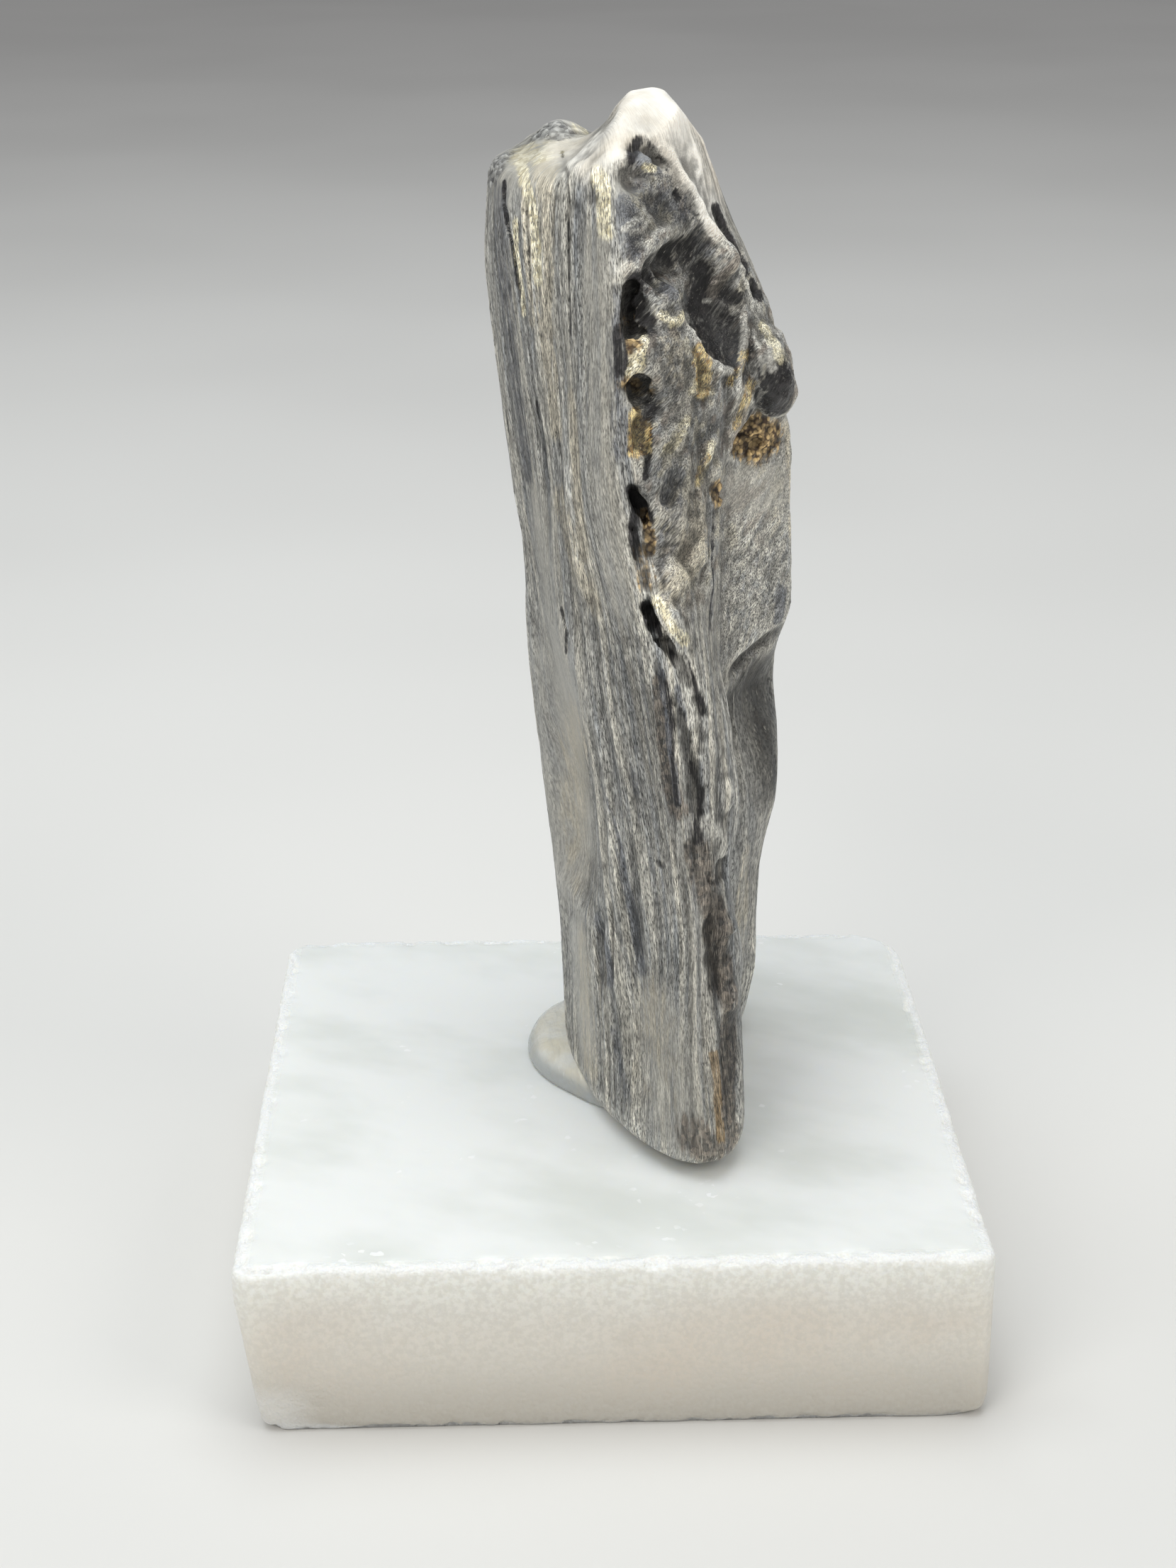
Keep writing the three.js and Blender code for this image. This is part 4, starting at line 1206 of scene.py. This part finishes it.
    def colour(self):
        inputs = {"Value": self.shade(), "Color": self.stained(self.stone())}
        shaded = add(self.tree, "ShaderNodeHueSaturation", inputs)
        glints = ramp(self.fine, 0.6, 0.72) * ramp(self.patches, 0.45, 0.6)
        return mixed(glints * (self.lively - self.flank * 0.5) * 0.6, shaded, GLINT)

    def roughness(self):
        gloss = self.calm * (attribute(self.tree, "dark") * 0.2 + 0.1)
        return ramp(self.fine + self.clouds * 0.3, 0.3, 0.9, 0.42, 0.68) - gloss

    def normal(self):
        relief = self.medium * 0.5 + (self.fine + self.dashes)
        normal = bump(relief * self.lively, 0.5, 0.28)
        normal = bump(self.crumb * self.loose, 0.8, 0.5, normal)
        return bump(self.grit, 0.2, 0.12, normal)


def wood_material():
    material, tree, skin = new_material("petrified wood")
    look = WoodLook(tree)
    inputs = {"Base Color": look.colour(), "Roughness": look.roughness(), "Normal": look.normal()}
    set_inputs(tree, skin, {**inputs, "Specular IOR Level": 0.45})
    return material


# ---- Marble block ----


def block_outline():
    """Points round the block at even steps: each corner's arc and the straight run after it."""
    arcs = []
    for corner, radius in enumerate(CORNER_RADII):
        middle = np.array(CORNER_SIGNS[corner]) * (BLOCK_HALF - radius)
        steps = max(4, round(radius * math.pi / 2 / OUTLINE_STEP))
        angles = math.pi + (corner + np.arange(steps + 1) / steps) * math.pi / 2
        arcs.append(middle + radius * np.stack([np.cos(angles), np.sin(angles)], axis=1))
    points = []
    for arc, following in zip(arcs, arcs[1:] + arcs[:1]):
        run = following[0] - arc[-1]
        steps = round(np.linalg.norm(run) / OUTLINE_STEP)
        points += [*arc, *(arc[-1] + run * i / steps for i in range(1, steps))]
    return np.array(points)


def block_rows():
    """Rows of the block's wall and top as (height, foot wear, inset)."""
    walls = np.concatenate([np.arange(*run) for run in WALL_ROWS])
    rows = [(height, np.interp(height, WEAR_HEIGHTS, WEAR_SHARES), 0.0) for height in walls]
    rows += [(BLOCK_TOP - ARRIS + ARRIS * up, 0.0, ARRIS * inset) for up, inset in ARRIS_CURVE]
    rows += [(BLOCK_TOP, 0.0, ARRIS + inset) for inset in TOP_INSETS]
    return rows


def chipped_share(places):
    """1 at the top and foot edges of the block, falling off within the chips' reach."""
    x, y, height = places.T
    from_side = BLOCK_HALF - np.maximum(np.abs(x), np.abs(y))
    from_top_edge = np.maximum(BLOCK_TOP - height, 0) + np.maximum(from_side - ARRIS, 0)
    from_foot_edge = height + 0.3 * from_side
    return np.exp(-((np.minimum(from_top_edge, from_foot_edge) / CHIP_REACH) ** 2))


def block_mesh():
    outline = block_outline()
    rings = []
    for height, wear, inset in block_rows():
        lean = LEFT_LEAN * max(0.0, 1 - height / LEAN_TOP) ** 0.9
        left = 1 - (FOOT_WEAR["left"] * wear + lean) / BLOCK_HALF
        right = 1 - FOOT_WEAR["right"] * wear / BLOCK_HALF
        depth = 1 - FOOT_WEAR["front"] * wear / BLOCK_HALF
        shrink = 1 - inset / BLOCK_HALF
        x = outline[:, 0] * np.where(outline[:, 0] < 0, left, right) * shrink
        y = outline[:, 1] * depth * shrink
        rings.append(np.stack([x, y, np.full(len(outline), height)], axis=1))
    mesh, places = closed_mesh("marble_block", rings, (0, 0, 0), (0, 0, BLOCK_TOP))

    chipped = chipped_share(places)
    left_foot = smooth_step(*LEFT_FOOT_X, places[:, 0]) * smooth_step(*LEFT_FOOT_HEIGHTS, places[:, 2])
    bite = np.clip(rough_noise(places / [2.2, 2.2, 1.8], seed=101, fall=0.6) + 0.12, 0, 1) ** 1.2
    nibble = 0.25 * np.clip(rough_noise(places / 0.9, seed=111, layers=3), 0, 1)
    pits = np.clip(rough_noise(places / [2, 2, 1.4], seed=121, fall=0.65) + 0.1, 0, 1)
    cut = CHIP_DEPTH * chipped * (bite * 2 + nibble) + FOOT_PITTING * left_foot * pits
    cut *= places[:, 2] > 0.01  # the underside stays flat
    set_places(mesh, places - cut[:, None] * vertex_normals(mesh))
    store(mesh, "worn", np.clip(chipped + 0.8 * left_foot, 0, 1))
    store(mesh, "height", places[:, 2] / BLOCK_TOP)
    return mesh


def marble_material():
    material, tree, skin = new_material("white marble")
    spot = millimetres(tree)
    turned = add(tree, "ShaderNodeVectorRotate", {"Vector": spot, "Angle": 0.5})
    drawn = moved(turned, "MULTIPLY", {1: (0.6, 1.0, 1.0)})
    veils = place(MOTTLE, drawn, Size=26.0, Detail=4.0, Low=0.4, High=0.7)
    clouds = place(MOTTLE, spot, Size=26.0, Low=0.4)
    grain = place(MOTTLE, spot, Size=0.7, Detail=2.0)
    rare = place(MOTTLE, spot, Size=14.0, Detail=1.0, Low=0.58, High=0.68)
    crystals = place(CRUMB, spot, "Height", Size=0.8)
    sugar = place(CRUMB, spot, "Height", Size=0.4)
    worn, height = attribute(tree, "worn"), attribute(tree, "height")

    facing = add(tree, "ShaderNodeNewGeometry", {}, "Normal")
    facing_up = ramp(add(tree, "ShaderNodeSeparateXYZ", {0: facing}, 2), 0.9, 0.99)
    facing_side = 1.0 - facing_up
    # Painted light: the top is cooler than the warmer sides, as lit by cool light from above and warm
    # light bounced onto the sides.
    top = mixed(veils * 0.85, TOP_WHITE, TOP_VEIL)
    # Painted shade and light: the sides darken towards the foot and brighten under the top edge.
    side = mixed(ramp(height, 0.0, 0.6), SIDE_FOOT, SIDE_MIDDLE)
    side = mixed(ramp(height, 0.55, 1.0), side, SIDE_TOP)
    side = mixed(clouds * ramp(abs(height - 0.5), 0.45, 0.1) * 0.4, side, SIDE_WARM)
    side = mixed(grain * 0.35, side, SIDE_GRAIN)
    colour = mixed(facing_side, top, side)
    flecks = ramp(crystals.beside("Facet"), 0.95, 0.97) * ramp(rare, 0.0, 1.0, 0.02, 0.7)
    colour = mixed(flecks * facing_up, colour, FLECK_WHITE)
    colour = mixed(ramp(worn, 0.5, 1.0, 0.0, 0.7), colour, CHIP_WHITE)

    sugary = bump(sugar * (worn * 0.9), 0.6, 0.3)
    inputs = {
        "Base Color": colour,
        "Roughness": (ramp(facing_up, 0.0, 1.0, 0.55, 0.22) + worn * 0.25).clamped(),
        "Normal": bump(crystals * facing_side, 0.35, 0.3, sugary),
        "Subsurface Weight": 0.5,
        "Subsurface Radius": (1.0, 0.9, 0.75),
        "Subsurface Scale": 5 * MM,
        "Specular IOR Level": 0.5,
    }
    set_inputs(tree, skin, inputs)
    return material


# ---- Glue ----


def glue_mesh():
    """A flat-topped puddle that the wood's foot stands in."""
    angle = np.arange(GLUE_POINTS) / GLUE_POINTS * 2 * math.pi
    flattened = GLUE_FLAT * np.exp(-(((angle - GLUE_FLAT_ANGLE) / GLUE_FLAT_REACH) ** 2))
    lobe = 1 + GLUE_LOBE_SIZE * np.sin(GLUE_LOBES * angle + GLUE_LOBE_TURN) - flattened
    rings = []
    for level, spread in zip(GLUE_LEVELS, GLUE_SPREADS):
        x = GLUE_MIDDLE[0] + GLUE_HALF[0] * spread * lobe * np.cos(angle)
        y = GLUE_MIDDLE[1] + GLUE_HALF[1] * spread * lobe * np.sin(angle)
        z = np.full(GLUE_POINTS, BLOCK_TOP - GLUE_SUNK + level * GLUE_THICK)
        rings.append(np.stack([x, y, z], axis=1))
    mesh, places = closed_mesh("glue_puddle", rings, rings[0].mean(axis=0), rings[-1].mean(axis=0))
    ripple = GLUE_RIPPLE * rough_noise(places / RIPPLE_SIZE, seed=201, layers=3)
    places[:, 2] += np.where(places[:, 2] > BLOCK_TOP + RIPPLE_FROM, ripple, 0)
    set_places(mesh, places)
    # The low side wall, which takes painted shade.
    store(mesh, "wall", smooth_step(3.0, 1.6, places[:, 2] - BLOCK_TOP))
    return mesh


def glue_material():
    material, tree, skin = new_material("clear glue")
    spot = millimetres(tree)
    milky = place(MOTTLE, spot, Size=5.0)
    swirls = place(MOTTLE, moved(spot, "MULTIPLY", {1: (1.0, 0.25, 1.0)}), Size=2.0, Low=0.4, High=0.6)
    colour = mixed(swirls * 0.25, mixed(milky, GLUE_CLEAR, GLUE_MILKY), GLUE_SWIRL)
    inputs = {
        # Painted shade on the side wall.
        "Base Color": mixed(attribute(tree, "wall") * 0.6, colour, GLUE_WALL),
        "Roughness": ramp(milky, 0.0, 1.0, 0.08, 0.22),
        "Normal": bump(milky + swirls, 0.3, 0.4),
        "Transmission Weight": 0.35,
        "IOR": 1.47,
    }
    set_inputs(tree, skin, inputs)
    thickness = add(tree, "ShaderNodeVolumeAbsorption", {"Color": srgb(*GLUE_THROUGH), "Density": 12.0})
    set_inputs(tree, tree.get_output_node("ALL"), {"Volume": thickness})
    return material


# ---- Stage ----


def make_floor():
    corners = [(sx * FLOOR_HALF, sy * FLOOR_HALF, 0) for sx, sy in CORNER_SIGNS]
    mesh = bpy.data.meshes.new("floor")
    mesh.from_pydata(corners, [], [(0, 1, 2, 3)])
    material, tree, skin = new_material("pale floor")
    clouds = place(MOTTLE, millimetres(tree), Size=300.0, Detail=2.0)
    set_inputs(tree, skin, {"Base Color": mixed(clouds, FLOOR_LIGHT, FLOOR_DARK), "Roughness": 0.75})
    mesh.materials.append(material)
    new_object("floor", mesh)


def make_light(name, location, aim_height, size, power, tint):
    """A rectangular light aimed at the upright line through the middle of the block."""
    data = bpy.data.lights.new(name, "AREA")
    data.shape = "RECTANGLE"
    data.size, data.size_y = size
    data.energy = power
    data.color = tint
    light = new_object(name, data)
    light.location = location
    aim = Vector((0, 0, aim_height)) - Vector(location)
    light.rotation_euler = aim.to_track_quat("-Z", "Y").to_euler()


def make_studio():
    world = bpy.data.worlds.new("studio")
    world.use_nodes = True
    sky = {"Color": (0.98, 0.98, 1.0, 1.0), "Strength": 0.29}
    set_inputs(world.node_tree, world.node_tree.nodes["Background"], sky)
    bpy.context.scene.world = world
    make_light("overhead", (-0.1, 0.1, 0.95), 0.05, (0.9, 0.8), 6.8, COOL_LIGHT)
    make_light("left", (-0.55, -0.75, 0.75), 0.08, (0.6, 0.6), 3.7, WARM_LIGHT)
    make_light("right", (0.75, -0.5, 0.75), 0.08, (0.6, 0.6), 2.9, WARM_LIGHT)


def make_camera():
    data = bpy.data.cameras.new("camera")
    data.lens = LENS
    data.sensor_width = 36
    data.clip_start, data.clip_end = 0.01, 20
    camera = new_object("camera", data)
    right = Vector(CAMERA_RIGHT).normalized()
    back = -Vector(CAMERA_AHEAD).normalized()
    up = back.cross(right).normalized()
    turn = Matrix((right, up, back)).transposed().to_4x4()
    camera.matrix_world = Matrix.Translation(CAMERA_PLACE) @ turn
    bpy.context.scene.camera = camera


bpy.context.scene.view_settings.view_transform = "Standard"
make_camera()
make_studio()
make_floor()
make_piece("fossil_wood", wood_mesh(), wood_material(), "petrified_wood")
make_piece("marble_block", block_mesh(), marble_material(), "marble_base")
make_piece("glue_puddle", glue_mesh(), glue_material(), "clear_glue")
